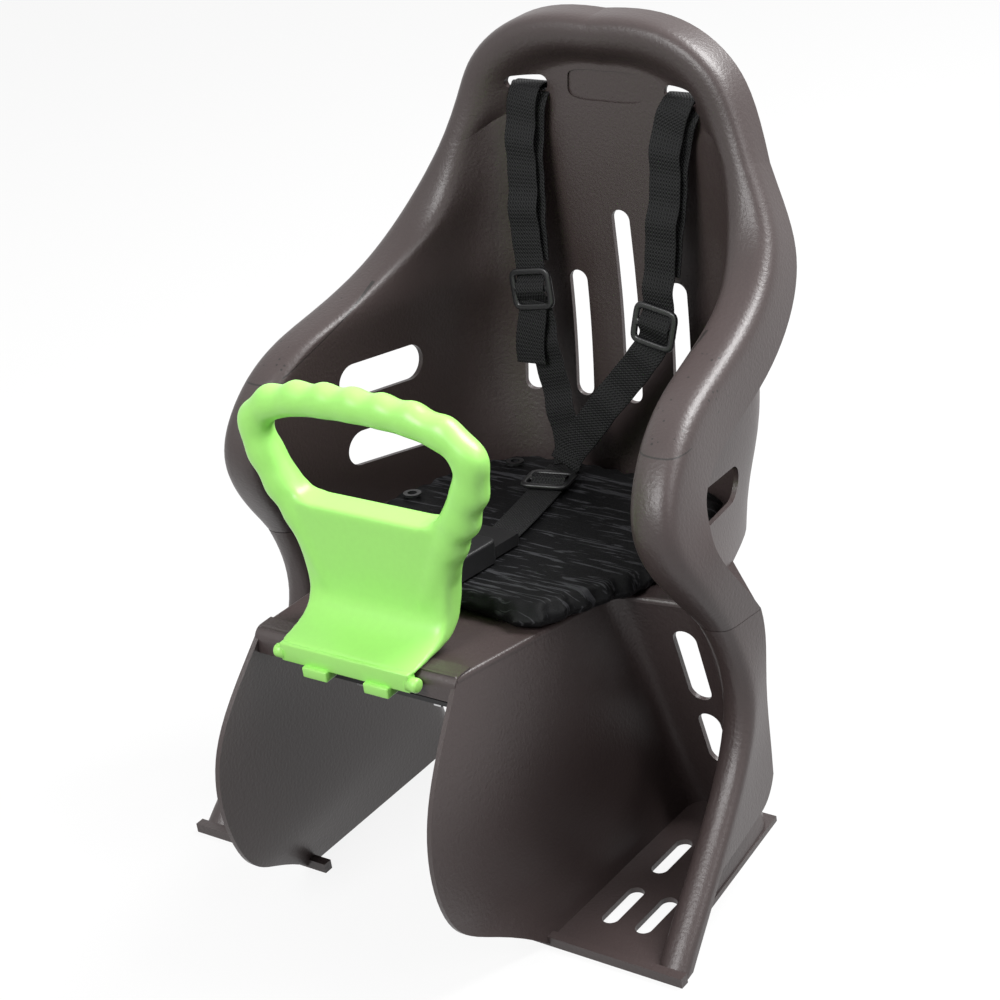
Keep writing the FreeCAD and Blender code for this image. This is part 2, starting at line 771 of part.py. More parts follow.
def name_plate():
    """Bare recessed plate behind the opening at the top of the back."""
    radius = size("plate_height") / 2 + size("plate_margin")
    half = size("plate_width") / 2 + size("plate_margin") - radius
    depth = back_line(plate_level()) - size("shell_wall") / 2 + size("plate_recess")
    ends = []
    for across in (-half, half):
        ends.append(Part.makeCylinder(radius, size("shell_wall"), Vector(across, depth, plate_level()),
                                      Vector(0, 1, 0)))
    middle = Part.makeBox(2 * half, size("shell_wall"), 2 * radius)
    middle.translate(Vector(-half, depth, plate_level() - radius))
    return middle.fuse(ends)


stations = rim_stations()
lower_rows = [bucket_row(name, stations[name]) for name in LOWER_ROWS]
upper_rows = [bucket_row(name, stations[name]) for name in UPPER_ROWS]
guard_rows = [guard_row(name, stations[name], stations["knee"]) for name in GUARD_ROWS]
joint_gap = pan_normal() * size("web_overlap")
web = web_solid(lower_rows, guard_rows, stations)
pan = pan_solid(lower_rows, stations)
lower_rows[0] = [point + joint_gap for point in lower_rows[0]]
guard_rows[-1] = [point - joint_gap for point in guard_rows[-1]]
bucket = bucket_solid(lower_rows, upper_rows, guard_rows)
guard_left = guard_solid(guard_rows, lower_rows)
floor_left = floor_solid()
walls = bucket.fuse([guard_left, mirror_shape(guard_left), floor_left, mirror_shape(floor_left),
                     web, pan, lip_solid(), name_plate(),
                     rack_block("block_front"), rack_block("block_rear")])
skirt_left = skirt_cutter()
walls = walls.cut([skirt_left, mirror_shape(skirt_left)])


# Sketch helpers: every corner is pinned to the sheet, so a changed size moves it

def amount(text):
    """Value of a sum of terms, each a size, a number or a product of them."""
    total = 0.0
    sign = 1.0
    for token in text.split():
        if token in "+-":
            sign = 1.0 if token == "+" else -1.0
            continue
        term = sign
        for factor in token.split("*"):
            term *= size(factor) if factor in DRIVING_SIZES else float(factor)
        total += term
        sign = 1.0
    return total


def formula(text):
    """The same sum as an expression on the sheet."""
    words = []
    for token in text.split():
        factors = [f"Sizes.{factor}" if factor in DRIVING_SIZES else factor for factor in token.split("*")]
        words.append(" * ".join(factors))
    return " ".join(words)


def bound(feature, name, text):
    """Bind a property to a sum of sizes."""
    feature.setExpression(name, formula(text))


def pin(sketch, geometry, vertex, across, along):
    """Tie one point of a sketch to its origin by two bound distances."""
    for kind, text in (("DistanceX", across), ("DistanceY", along)):
        index = sketch.addConstraint(Sketcher.Constraint(kind, -1, 1, geometry, vertex, amount(text)))
        sketch.setExpression(f"Constraints[{index}]", formula(text))


def add_loop(sketch, corners):
    """Closed loop of straight lines through pinned corners."""
    points = [Vector(amount(across), amount(along), 0) for across, along in corners]
    first = sketch.GeometryCount
    for start, end in zip(points, points[1:] + points[:1]):
        sketch.addGeometry(Part.LineSegment(start, end), False)
    count = len(corners)
    for index in range(count):
        following = first + (index + 1) % count
        sketch.addConstraint(Sketcher.Constraint("Coincident", first + index, 2, following, 1))
    for index, (across, along) in enumerate(corners):
        pin(sketch, first + index, 1, across, along)


def add_circle(sketch, across, along, radius):
    """Circle with a pinned centre and a bound radius."""
    centre = Vector(amount(across), amount(along), 0)
    circle = sketch.addGeometry(Part.Circle(centre, Vector(0, 0, 1), amount(radius)), False)
    pin(sketch, circle, 3, across, along)
    index = sketch.addConstraint(Sketcher.Constraint("Radius", circle, amount(radius)))
    sketch.setExpression(f"Constraints[{index}]", formula(radius))


def add_slot(sketch, start, end, width):
    """Slot with round ends between two pinned centres."""
    radius = amount(width) / 2
    first = Vector(amount(start[0]), amount(start[1]), 0)
    second = Vector(amount(end[0]), amount(end[1]), 0)
    along = (second - first).normalize()
    side = Vector(-along.y, along.x, 0) * radius
    angle = math.atan2(along.y, along.x)
    up = Vector(0, 0, 1)
    quarter = math.pi / 2
    round_end = sketch.addGeometry(
        Part.ArcOfCircle(Part.Circle(second, up, radius), angle - quarter, angle + quarter), False)
    line_back = sketch.addGeometry(Part.LineSegment(second + side, first + side), False)
    round_start = sketch.addGeometry(
        Part.ArcOfCircle(Part.Circle(first, up, radius), angle + quarter, angle + 3 * quarter), False)
    line_out = sketch.addGeometry(Part.LineSegment(first - side, second - side), False)
    sketch.addConstraint(Sketcher.Constraint("Tangent", round_end, 2, line_back, 1))
    sketch.addConstraint(Sketcher.Constraint("Tangent", line_back, 2, round_start, 1))
    sketch.addConstraint(Sketcher.Constraint("Tangent", round_start, 2, line_out, 1))
    sketch.addConstraint(Sketcher.Constraint("Tangent", line_out, 2, round_end, 1))
    pin(sketch, round_end, 3, *end)
    pin(sketch, round_start, 3, *start)
    index = sketch.addConstraint(Sketcher.Constraint("Radius", round_end, radius))
    sketch.setExpression(f"Constraints[{index}]", f"({formula(width)}) / 2")


def origin_plane(body, role):
    """One of the origin planes of a body."""
    return [plane for plane in body.Origin.OriginFeatures if plane.Role == role][0]


def body_sketch(body, name, role, offset=None):
    """Sketch on an origin plane of a body, lifted off it by a sum of sizes."""
    sketch = body.newObject("Sketcher::SketchObject", name)
    sketch.AttachmentSupport = [(origin_plane(body, role), "")]
    sketch.MapMode = "FlatFace"
    if offset is not None:
        bound(sketch, ".AttachmentOffset.Base.z", offset)
    return sketch


def add_body(name, placement):
    """Body of one sub-part in its place."""
    body = doc.addObject("PartDesign::Body", name)
    body.Label = name
    body.Placement = placement
    return body


def add_pad(body, name, sketch, length, symmetric=False):
    """Pad of a sketch with a bound length."""
    pad = body.newObject("PartDesign::Pad", name)
    pad.Profile = sketch
    pad.Midplane = symmetric
    bound(pad, "Length", length)
    sketch.Visibility = False
    doc.recompute()
    return pad


def add_fillet(body, name, base, radius, wanted):
    """Rounded edges of a body: those for which the test on an edge holds."""
    names = [f"Edge{index}" for index, edge in enumerate(base.Shape.Edges, start=1) if wanted(edge)]
    fillet = body.newObject("PartDesign::Fillet", name)
    fillet.Base = (base, names)
    bound(fillet, "Radius", radius)
    doc.recompute()
    return fillet


def is_upright(edge):
    """Straight edge along the local Z axis."""
    box = edge.BoundBox
    return box.ZLength > 1e-3 and box.XLength < 1e-3 and box.YLength < 1e-3


def pan_frame():
    """Frame of the pieces that lie in the slope of the pan, from the middle of its front edge."""
    return toe_placement().multiply(pan_placement(0, 0, 0))


def hexagon(name, flats, height, across, back, level):
    """Hexagonal prism with bound flats and height."""
    prism = doc.addObject("Part::Prism", name)
    prism.Polygon = 6
    prism.setExpression("Circumradius", f"({formula(flats)}) / sqrt(3)")
    bound(prism, "Height", height)
    place(prism, across, back, level)
    return prism


def cylinder(name, radius, height, across, back, level):
    """Upright cylinder with bound sizes."""
    rod = doc.addObject("Part::Cylinder", name)
    bound(rod, "Radius", radius)
    bound(rod, "Height", height)
    place(rod, across, back, level)
    return rod


def place(feature, across, back, level):
    """Bind the place of a primitive."""
    bound(feature, ".Placement.Base.x", across)
    bound(feature, ".Placement.Base.y", back)
    bound(feature, ".Placement.Base.z", level)


def ring(name, outer, bore):
    """Piece with a bore."""
    made = doc.addObject("Part::Cut", name)
    made.Base = outer
    made.Tool = bore
    return made


def gathered(name, members):
    """One sub-part of several equal pieces."""
    compound = doc.addObject("Part::Compound", name)
    compound.Label = name
    compound.Links = members
    compound.Placement = pan_frame()
    return compound


# Levels of the rack clamp, from the middle plane of the pan

block_bottom = "-0.5*pan_plate - block_height"
plate_top = block_bottom + " - 2*tube_radius + saddle_depth"
BOLT_ROWS = ("block_front + 0.5*block_length", "block_rear + 0.5*block_length")
washer_bottom = plate_top + " - plate_thickness - washer_height"
head_bottom = washer_bottom + " - bolt_head_height"
nut_top = "0.5*pan_plate - nut_sink"


# Openings of the shell, cut by extruded sketches

def opening(name, rotation, offset, depth, slots):
    """Cutter: slots drawn in a plane and carried straight through a wall."""
    sketch = doc.addObject("Sketcher::SketchObject", name + "_sketch")
    for start, end, width in slots:
        add_slot(sketch, start, end, width)
    sketch.Placement = Placement(offset, rotation)
    cutter = doc.addObject("Part::Extrusion", name)
    cutter.Base = sketch
    cutter.DirMode = "Normal"
    cutter.Solid = True
    cutter.LengthFwd = depth
    return cutter


def upright_slot(across, low, high, width):
    """Slot whose round ends touch a low and a high level."""
    return ((across, f"{low} + 0.5*{width}"), (across, f"{high} - 0.5*{width}"), width)


facing_back = Rotation(Vector(1, 0, 0), 90)
facing_side = Rotation(Vector(1, 1, 1), 120)
back_slots = [
    upright_slot("0", "vent_bottom", "vent_centre_top", "vent_width"),
    upright_slot("vent_pitch", "vent_bottom", "vent_side_top", "vent_width"),
    upright_slot("-1*vent_pitch", "vent_bottom", "vent_side_top", "vent_width"),
    upright_slot("2*vent_pitch", "vent_bottom", "vent_outer_top", "vent_width"),
    upright_slot("-2*vent_pitch", "vent_bottom", "vent_outer_top", "vent_width"),
]
cut_depth = size("vent_cut_depth")
back_vents = opening("back_vents", facing_back, Vector(0, size("back_reach") + cut_depth / 2, 0),
                     cut_depth, back_slots)
strap_slots = []
slot_level = "top_height - strap_slot_drop"
for turn in (-1, 1):
    inner_end = f"{turn}*strap_slot_offset - 0.5*strap_slot_width + 0.5*strap_slot_height"
    outer_end = f"{turn}*strap_slot_offset + 0.5*strap_slot_width - 0.5*strap_slot_height"
    strap_slots.append(((inner_end, slot_level), (outer_end, slot_level), "strap_slot_height"))
strap_openings = opening("strap_openings", facing_back, Vector(0, size("back_reach") + cut_depth / 2, 0),
                         cut_depth, strap_slots)
side_slots = []
for level in ("side_vent_upper", "side_vent_lower"):
    rear = "side_vent_back + 0.5*side_vent_length - 0.5*side_vent_height"
    front = "side_vent_back - 0.5*side_vent_length + 0.5*side_vent_height"
    side_slots.append(((front, f"{level} + 0.5*side_vent_fall"), (rear, f"{level} - 0.5*side_vent_fall"),
                       "side_vent_height"))
side_reach = size("bucket_half_width") + size("side_flare")
side_vents_left = opening("side_vents_left", facing_side, Vector(side_reach - size("side_vent_cut"), 0, 0),
                          size("side_vent_cut"), side_slots)
side_vents_right = opening("side_vents_right", facing_side, Vector(-side_reach, 0, 0),
                           size("side_vent_cut"), side_slots)
calf_slots = []
floor_slots = []
for turn in (-1, 1):
    for level, length in (("calf_vent_upper", "calf_vent_upper_length"),
                          ("calf_vent_lower", "calf_vent_lower_length")):
        calf_slots.append(upright_slot(f"{turn}*calf_vent_offset", f"{level} - 0.5*{length}",
                                       f"{level} + 0.5*{length}", "calf_vent_width"))
    for across, back in (("floor_vent_inner", "floor_vent_front"), ("floor_vent_inner", "floor_vent_rear"),
                         ("floor_vent_outer", "floor_vent_front")):
        floor_slots.append(upright_slot(f"{turn}*{across}", f"{back} - 0.5*floor_vent_length",
                                        f"{back} + 0.5*floor_vent_length", "floor_vent_width"))
calf_vents = opening("calf_vents", facing_back, Vector(0, size("heel_back"), 0), size("calf_vent_cut"), calf_slots)
floor_vents = opening("floor_vents", Rotation(), Vector(0, 0, -size("floor_plate")),
                      4 * size("floor_plate"), floor_slots)
doc.recompute()

rack_cutters = []
for row_index, row in enumerate(BOLT_ROWS):
    for turn in (-1, 1):
        tag = f"{row_index}_{'left' if turn > 0 else 'right'}"
        across = f"{turn}*bolt_offset"
        rack_cutters.append(cylinder("bolt_hole_" + tag, "bolt_radius + bolt_clearance",
                                     "block_height + 2*pan_plate", across, row,
                                     block_bottom + " - 0.5*pan_plate"))
        rack_cutters.append(hexagon("nut_pocket_" + tag, "nut_across + 2*seat_gap", "nut_height + 2*nut_sink",
                                    across, row, nut_top + " - nut_height"))
for turn in (-1, 1):
    saddle = cylinder(f"saddle_{'left' if turn > 0 else 'right'}", "tube_radius",
                      "block_rear + 2*block_length", f"{turn}*tube_offset", "0",
                      block_bottom + " + saddle_depth - tube_radius")
    saddle.Placement.Rotation = Rotation(Vector(1, 0, 0), -90)
    rack_cutters.append(saddle)
rack_openings = doc.addObject("Part::Compound", "rack_openings")
rack_openings.Links = rack_cutters
rack_openings.Placement = pan_placement(0, 0, 0)

shell_walls = doc.addObject("Part::Feature", "shell_walls")
shell_walls.Shape = walls.Solids[0]
all_openings = doc.addObject("Part::Compound", "all_openings")
all_openings.Links = [back_vents, strap_openings, side_vents_left, side_vents_right, calf_vents, floor_vents,
                      rack_openings]
seat_shell = doc.addObject("Part::Cut", "seat_shell")
seat_shell.Label = "seat_shell"
seat_shell.Base = shell_walls
seat_shell.Tool = all_openings
seat_shell.Refine = False
seat_shell.Placement = toe_placement()
doc.recompute()


# Seat pad: a flat cushion on the pan

seat_pad = add_body("seat_pad", pan_frame())
pad_sketch = body_sketch(seat_pad, "pad_outline", "XY_Plane", "0.5*pan_plate + soft_gap")
rear_corner = "pad_rear + lip_reach"
add_loop(pad_sketch, [
    ("pad_front_half_width", "pad_front + lip_reach"),
    ("pad_corner_half_width", "pad_corner_back + lip_reach"),
    ("pad_rear_half_width", rear_corner),
    ("-1*pad_rear_half_width", rear_corner),
    ("-1*pad_corner_half_width", "pad_corner_back + lip_reach"),
    ("-1*pad_front_half_width", "pad_front + lip_reach"),
])
pad_block = add_pad(seat_pad, "pad_block", pad_sketch, "pad_thickness")
rear_edge = amount(rear_corner)
pad_corners = add_fillet(seat_pad, "pad_corners", pad_block, "pad_corner_round",
                         lambda edge: is_upright(edge) and edge.BoundBox.YMin > rear_edge - 1)
pad_shoulders = add_fillet(seat_pad, "pad_shoulders", pad_corners, "pad_front_round",
                           lambda edge: is_upright(edge) and edge.BoundBox.YMin < rear_edge - 90)
pad_top = amount("0.5*pan_plate + soft_gap + pad_thickness")
add_fillet(seat_pad, "pad_edges", pad_shoulders, "pad_round",
           lambda edge: edge.BoundBox.ZMin > pad_top - 0.01)


# Grab handle: loop and panel in one plane, a flange over the lip and a fold in front of it

flange_seat = "lip_height + 0.5*pan_plate + flange_gap"
foot = flange_seat + " + flange_thickness"
loop_top = foot + " + handle_rise"
elbow = foot + " + handle_elbow_rise"
panel_top = foot + " + handle_panel_rise"
flap_front = "-1*lip_reach - flap_reach"
flap_bottom = flange_seat + " - flap_drop"
grab_handle = add_body("grab_handle", toe_placement())
loop_sketch = body_sketch(grab_handle, "handle_outline", "XZ_Plane", "-1*handle_back")
waist = "handle_waist"
side = [
    ("handle_bar_half_width", loop_top),
    ("handle_half_width - 0.4*handle_bar", loop_top + " - 0.5*handle_bar"),
    ("handle_half_width", elbow),
    ("handle_half_width - 0.6*handle_leg", panel_top + " + 0.4*handle_leg"),
    ("handle_waist + 0.7*handle_leg", panel_top + " - 0.8*handle_leg"),
    (waist, foot + " + handle_waist_rise + 0.8*handle_leg"),
    (waist, foot),
]
mirror_side = [("-1*" + across.replace(" + ", " + -1*").replace(" - ", " - -1*"), along)
               for across, along in reversed(side)]
add_loop(loop_sketch, side + mirror_side)
gap_side = [
    ("handle_half_width - 1.6*handle_leg", loop_top + " - handle_bar"),
    ("handle_half_width - 1.3*handle_leg", elbow + " - 0.2*handle_leg"),
    ("handle_half_width - 1.5*handle_leg", panel_top + " + 0.6*handle_leg"),
    ("handle_half_width - 1.84*handle_leg", panel_top),
]
mirror_gap = [("-1*" + across.replace(" + ", " + -1*").replace(" - ", " - -1*"), along)
              for across, along in reversed(gap_side)]
add_loop(loop_sketch, gap_side + mirror_gap)
handle_loop = add_pad(grab_handle, "handle_loop", loop_sketch, "handle_depth", symmetric=True)


def across_handle(edge):
    """Straight edge along the depth of the handle."""
    box = edge.BoundBox
    return box.YLength > 1 and box.XLength < 1e-3 and box.ZLength < 1e-3


foot_level = amount(foot)
handle_bends = add_fillet(grab_handle, "handle_bends", handle_loop, "handle_bend_round",
                          lambda edge: across_handle(edge) and edge.BoundBox.ZMin > foot_level + 1)
add_fillet(grab_handle, "handle_edges", handle_bends, "handle_round",
           lambda edge: edge.BoundBox.YLength < 1e-3 and edge.BoundBox.ZMax > foot_level + 1)
flange_sketch = body_sketch(grab_handle, "flange_profile", "YZ_Plane")
add_loop(flange_sketch, [
    (flap_front, flap_bottom),
    (flap_front, foot + " - flange_fall"),
    ("handle_back - 0.5*handle_depth - flange_round", foot),
    ("handle_back - 0.5*handle_depth - 0.3*flange_round", foot + " + 0.3*flange_round"),
    ("handle_back - 0.5*handle_depth", foot + " + flange_round"),
    ("handle_back", foot + " + flange_round"),
    ("handle_back + 0.5*handle_depth", foot),
    ("handle_back + 0.5*handle_depth", flange_seat),
    (flap_front + " + flap_thickness", flange_seat),
    (flap_front + " + flap_thickness", flap_bottom),
])
add_pad(grab_handle, "handle_flange", flange_sketch, "2*flange_half_width", symmetric=True)
hook_sketch = body_sketch(grab_handle, "hook_profile", "XY_Plane", flap_bottom + " - hook_height")
for turn in (-1, 1):
    near = f"{turn}*hook_offset - 0.5*hook_width"
    far = f"{turn}*hook_offset + 0.5*hook_width"
    add_loop(hook_sketch, [(near, flap_front + " - hook_reach"), (far, flap_front + " - hook_reach"),
                           (far, flap_front + " + flap_thickness"), (near, flap_front + " + flap_thickness")])
add_pad(grab_handle, "handle_hooks", hook_sketch, "hook_height + 0.5*flap_thickness")
rod_sketch = body_sketch(grab_handle, "rod_profile", "YZ_Plane")
add_circle(rod_sketch, flap_front + " + rod_radius", flap_bottom + " + rod_radius", "rod_radius")
add_pad(grab_handle, "handle_rod", rod_sketch, "2*flange_half_width + 2*rod_end", symmetric=True)


# Rack clamp: plates, bolts, washers and nuts in the slope of the pan

for name, row in (("clamp_plate_front", BOLT_ROWS[0]), ("clamp_plate_rear", BOLT_ROWS[1])):
    plate = add_body(name, pan_frame())
    plate_sketch = body_sketch(plate, name + "_outline", "XY_Plane", plate_top + " - plate_thickness")
    add_loop(plate_sketch, [
        ("-1*block_half_width", row + " - 0.5*plate_length"), ("block_half_width", row + " - 0.5*plate_length"),
        ("block_half_width", row + " + 0.5*plate_length"), ("-1*block_half_width", row + " + 0.5*plate_length")])
    for turn in (-1, 1):
        add_circle(plate_sketch, f"{turn}*bolt_offset", row, "bolt_radius + bolt_clearance")
    plate_pad = add_pad(plate, name + "_pad", plate_sketch, "plate_thickness")
    add_fillet(plate, name + "_corners", plate_pad, "plate_corner_round",
               lambda edge: is_upright(edge) and edge.Curve.TypeId == "Part::GeomLine")

bolts, washers, nuts = [], [], []
shank_length = "0.5*pan_plate - nut_sink + 0.5*pan_plate + block_height + 2*tube_radius - saddle_depth"
shank_length += " + plate_thickness + washer_height"
for row_index, row in enumerate(BOLT_ROWS):
    for turn in (-1, 1):
        tag = f"{row_index}_{'left' if turn > 0 else 'right'}"
        across = f"{turn}*bolt_offset"
        head = hexagon("head_" + tag, "bolt_head_across", "bolt_head_height", across, row, head_bottom)
        shank = cylinder("shank_" + tag, "bolt_radius", shank_length, across, row, washer_bottom)
        bolt = doc.addObject("Part::Fuse", "bolt_" + tag)
        bolt.Base = head
        bolt.Tool = shank
        bolts.append(bolt)
        disc = cylinder("disc_" + tag, "washer_radius", "washer_height", across, row, washer_bottom)
        hole = cylinder("washer_hole_" + tag, "bolt_radius + bolt_clearance", "washer_height", across, row,
                        washer_bottom)
        washers.append(ring("washer_" + tag, disc, hole))
        block = hexagon("nut_block_" + tag, "nut_across", "nut_height", across, row, nut_top + " - nut_height")
        bore = cylinder("nut_bore_" + tag, "bolt_radius + 0.5*seat_gap", "nut_height", across, row,
                        nut_top + " - nut_height")
        nuts.append(ring("nut_" + tag, block, bore))
gathered("clamp_bolts", bolts)
gathered("clamp_washers", washers)
gathered("clamp_nuts", nuts)


# Harness: flat webbing ribbons, slide adjusters and a buckle

def ribbon(name, stops, facing):
    """Webbing along a smooth line through some points, each with the direction its face looks to."""
    half = size("webbing_width") / 2
    rows = []
    directions = []
    for index, stop in enumerate(stops):
        ahead = stops[min(index + 1, len(stops) - 1)]
        behind = stops[max(index - 1, 0)]
        along = (ahead - behind).normalize()
        across = along.cross(facing[index]).normalize()
        rows.append([stop + across * half * share for share in (-1.0, -0.33, 0.33, 1.0)])
        directions.append([across.cross(along).normalize()] * 4)
    wall = Wall(rows, directions, 0, len(rows) - 1, size("webbing_thickness"))
    faces = wall.faces + [wall.side_face(wall.start), wall.side_face(wall.end),
                          wall.end_face(wall.low), wall.end_face(wall.high)]
    return solid_feature(name, closed_solid(faces))


front = Vector(0, -1, 0.18)
slot_x = size("strap_slot_offset")
slot_z = size("top_height") - size("strap_slot_drop")
slot_y = back_line(slot_z)
through = [Vector(0, 8.5, -2.5), Vector(0, 0, 0), Vector(0, -9, -6)]
left_stops = [Vector(slot_x, slot_y, slot_z) + step for step in through]
left_stops += [Vector(54, 309, 440), Vector(50, 301, 392), Vector(48, 292, 346), Vector(43, 284, 302),
               Vector(10, 276, 260), Vector(-22, 265, 222), Vector(-30, 258, 206)]
right_stops = [mirrored(Vector(slot_x, slot_y, slot_z) + step) for step in through]
right_stops += [Vector(-67, 309, 440), Vector(-68, 302, 398), Vector(-63, 293, 343), Vector(-58, 288, 310),
                Vector(-50, 281, 268), Vector(-46, 280, 226)]
ribbon("shoulder_strap_left", left_stops, [front] * len(left_stops))
ribbon("shoulder_strap_right", right_stops, [front] * len(right_stops))


def adjuster(name, placement):
    """Slide adjuster: a flat frame with two slots and a bar between them."""
    body = add_body(name, placement)
    frame_sketch = body_sketch(body, name + "_frame", "XY_Plane", "0.5*webbing_thickness + adjuster_gap")
    half = "0.5*adjuster_width"
    end = "0.5*adjuster_height"
    add_loop(frame_sketch, [("-" + half, "-" + end), (half, "-" + end), (half, end), ("-" + half, end)])
    side_bar = "0.5*webbing_width + adjuster_gap"
    near = "0.5*adjuster_bar"
    far = "0.5*adjuster_bar + adjuster_slot"
    for low, high in ((near, far), ("-0.5*adjuster_bar - adjuster_slot", "-0.5*adjuster_bar")):
        add_loop(frame_sketch, [("-0.5*webbing_width - adjuster_gap", low), (side_bar, low), (side_bar, high),
                                ("-0.5*webbing_width - adjuster_gap", high)])
    frame_pad = add_pad(body, name + "_pad", frame_sketch, "adjuster_thickness")
    corners = add_fillet(body, name + "_corners", frame_pad, "adjuster_corner_round", is_upright)
    face = amount("0.5*webbing_thickness + adjuster_gap + adjuster_thickness")
    add_fillet(body, name + "_edges", corners, "adjuster_round", lambda edge: edge.BoundBox.ZMin > face - 0.01)
    return body


def on_strap(stops, index, share):
    """Place on a strap between two of its points: X across it, Y up along it, Z out of its face."""
    point = blend(stops[index], stops[index + 1], share)
    along = (stops[index] - stops[index + 1]).normalize()
    across = along.cross(front).normalize()
    return toe_placement().multiply(Placement(point, Rotation(across, along, across.cross(along), "XYZ")))


adjuster("strap_adjuster_left", on_strap(left_stops, 5, 0.75))
adjuster("strap_adjuster_right", on_strap(right_stops, 5, 0.5))

on_pad = "0.5*pan_plate + soft_gap + pad_thickness + soft_gap"
eyelets = []
for row in ("front", "rear"):
    for turn in (-1, 1):
        tag = f"{row}_{'left' if turn > 0 else 'right'}"
        across = f"{turn}*eyelet_{row}_offset"
        back = f"eyelet_{row}_back + lip_reach"
        flange = cylinder("eyelet_flange_" + tag, "eyelet_radius", "eyelet_height", across, back, on_pad)
        hole = cylinder("eyelet_hole_" + tag, "eyelet_hole_radius", "eyelet_height", across, back, on_pad)
        eyelets.append(ring("eyelet_" + tag, flange, hole))
gathered("pad_eyelets", eyelets)

crotch_strap = add_body("crotch_strap", pan_frame())
crotch_sketch = body_sketch(crotch_strap, "crotch_outline", "XY_Plane", on_pad)
rear_back = "crotch_rear + lip_reach"
front_back = "crotch_front + lip_reach"
add_loop(crotch_sketch, [
    ("crotch_front_offset - 0.5*webbing_width", front_back),
    ("crotch_front_offset + 0.5*webbing_width", front_back),
    ("crotch_rear_offset + 0.5*webbing_width", rear_back),
    ("crotch_rear_offset - 0.5*webbing_width", rear_back)])
add_pad(crotch_strap, "crotch_pad", crotch_sketch, "webbing_thickness")
crotch_run = Vector(size("crotch_rear_offset") - size("crotch_front_offset"),
                    size("crotch_rear") - size("crotch_front"), 0)
crotch_turn = math.degrees(math.atan2(-crotch_run.x, crotch_run.y))
centre_back = size("crotch_rear") + size("lip_reach") - size("adjuster_height")
centre_level = amount(on_pad + " + 0.5*webbing_thickness")
centre_across = size("crotch_rear_offset") - crotch_run.x * size("adjuster_height") / crotch_run.y
centre_place = Placement(Vector(centre_across, centre_back, centre_level),
                         Rotation(Vector(0, 0, 1), crotch_turn))
adjuster("strap_adjuster_centre", pan_frame().multiply(centre_place))

buckle_tongue = add_body("buckle_tongue", pan_frame())
tongue_sketch = body_sketch(buckle_tongue, "tongue_outline", "XY_Plane", on_pad)
tongue_rear = "crotch_front + lip_reach - seat_gap"
add_loop(tongue_sketch, [
    ("crotch_front_offset - 0.5*tongue_width", tongue_rear + " - tongue_length"),
    ("crotch_front_offset + 0.5*tongue_width", tongue_rear + " - tongue_length"),
    ("crotch_front_offset + 0.5*tongue_width", tongue_rear),
    ("crotch_front_offset - 0.5*tongue_width", tongue_rear)])
tongue_pad = add_pad(buckle_tongue, "tongue_pad", tongue_sketch, "tongue_height")
add_fillet(buckle_tongue, "tongue_round", tongue_pad, "tongue_round", is_upright)

buckle_socket = add_body("buckle_socket", pan_frame())
socket_sketch = body_sketch(buckle_socket, "socket_outline", "XY_Plane", on_pad)
socket_rear = tongue_rear + " - tongue_length - seat_gap"
add_loop(socket_sketch, [
    ("crotch_front_offset - 0.5*buckle_width", socket_rear + " - buckle_length"),
    ("crotch_front_offset + 0.5*buckle_width", socket_rear + " - buckle_length"),
    ("crotch_front_offset + 0.5*buckle_width", socket_rear),
    ("crotch_front_offset - 0.5*buckle_width", socket_rear)])
socket_pad = add_pad(buckle_socket, "socket_pad", socket_sketch, "buckle_height")
socket_corners = add_fillet(buckle_socket, "socket_corners", socket_pad, "buckle_round", is_upright)
socket_top = amount(on_pad + " + buckle_height")
add_fillet(buckle_socket, "socket_edges", socket_corners, "tongue_round",
           lambda edge: edge.BoundBox.ZMin > socket_top - 0.01)

for name, turn in (("strap_anchor_left", 1), ("strap_anchor_right", -1)):
    anchor = doc.addObject("Part::Cylinder", name)
    anchor.Label = name
    bound(anchor, "Radius", "anchor_radius")
    bound(anchor, "Height", "anchor_length")
    behind = slot_y + size("shell_wall") / 2 + size("anchor_radius") + size("anchor_gap")
    centre = Vector(turn * slot_x - size("anchor_length") / 2, behind, slot_z - size("anchor_drop"))
    anchor.Placement = toe_placement().multiply(Placement(centre, Rotation(Vector(0, 1, 0), 90)))

doc.recompute()

# Every object is sound and every sub-part is one closed shape, or nothing is written

NODES = ["seat_shell", "seat_pad", "pad_eyelets", "grab_handle", "shoulder_strap_left", "shoulder_strap_right",
         "strap_adjuster_left", "strap_adjuster_right", "strap_adjuster_centre", "crotch_strap",
         "buckle_tongue", "buckle_socket", "strap_anchor_left", "strap_anchor_right",
         "clamp_plate_front", "clamp_plate_rear", "clamp_bolts", "clamp_washers", "clamp_nuts"]

broken = [thing.Name for thing in doc.Objects if "Invalid" in thing.State or "Error" in thing.State]
if broken:
    raise RuntimeError("objects with errors: " + ", ".join(broken))
for name in NODES:
    shape = doc.getObject(name).Shape
    if shape.isNull() or not shape.isValid():
        raise RuntimeError("sub-part is not a valid solid: " + name)
os.makedirs("parts", exist_ok=True)
for name in NODES:
    doc.getObject(name).Shape.exportStep(f"parts/{name}.step")
    box = doc.getObject(name).Shape.BoundBox
    print(name, len(doc.getObject(name).Shape.Solids), [round(value, 1) for value in
          (box.XMin, box.XMax, box.YMin, box.YMax, box.ZMin, box.ZMax)])
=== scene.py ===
# %% [markdown]
# # Dressing a child bike seat
# The CAD part gives every hard piece in its true place: the moulded shell, the buckle and the rack clamp. This lesson
# keeps those pieces and gives them their finishes. It models anew only what a hard solid can't show well: the flowing
# grab handle, the soft pad, the webbing and its round-edged slides. Every new mesh is a grid of points worked out with
# numpy, so each shape is a formula that can be read and changed.

# %% Load the frame
import math

import bpy
import numpy as np
from mathutils import Matrix, Vector


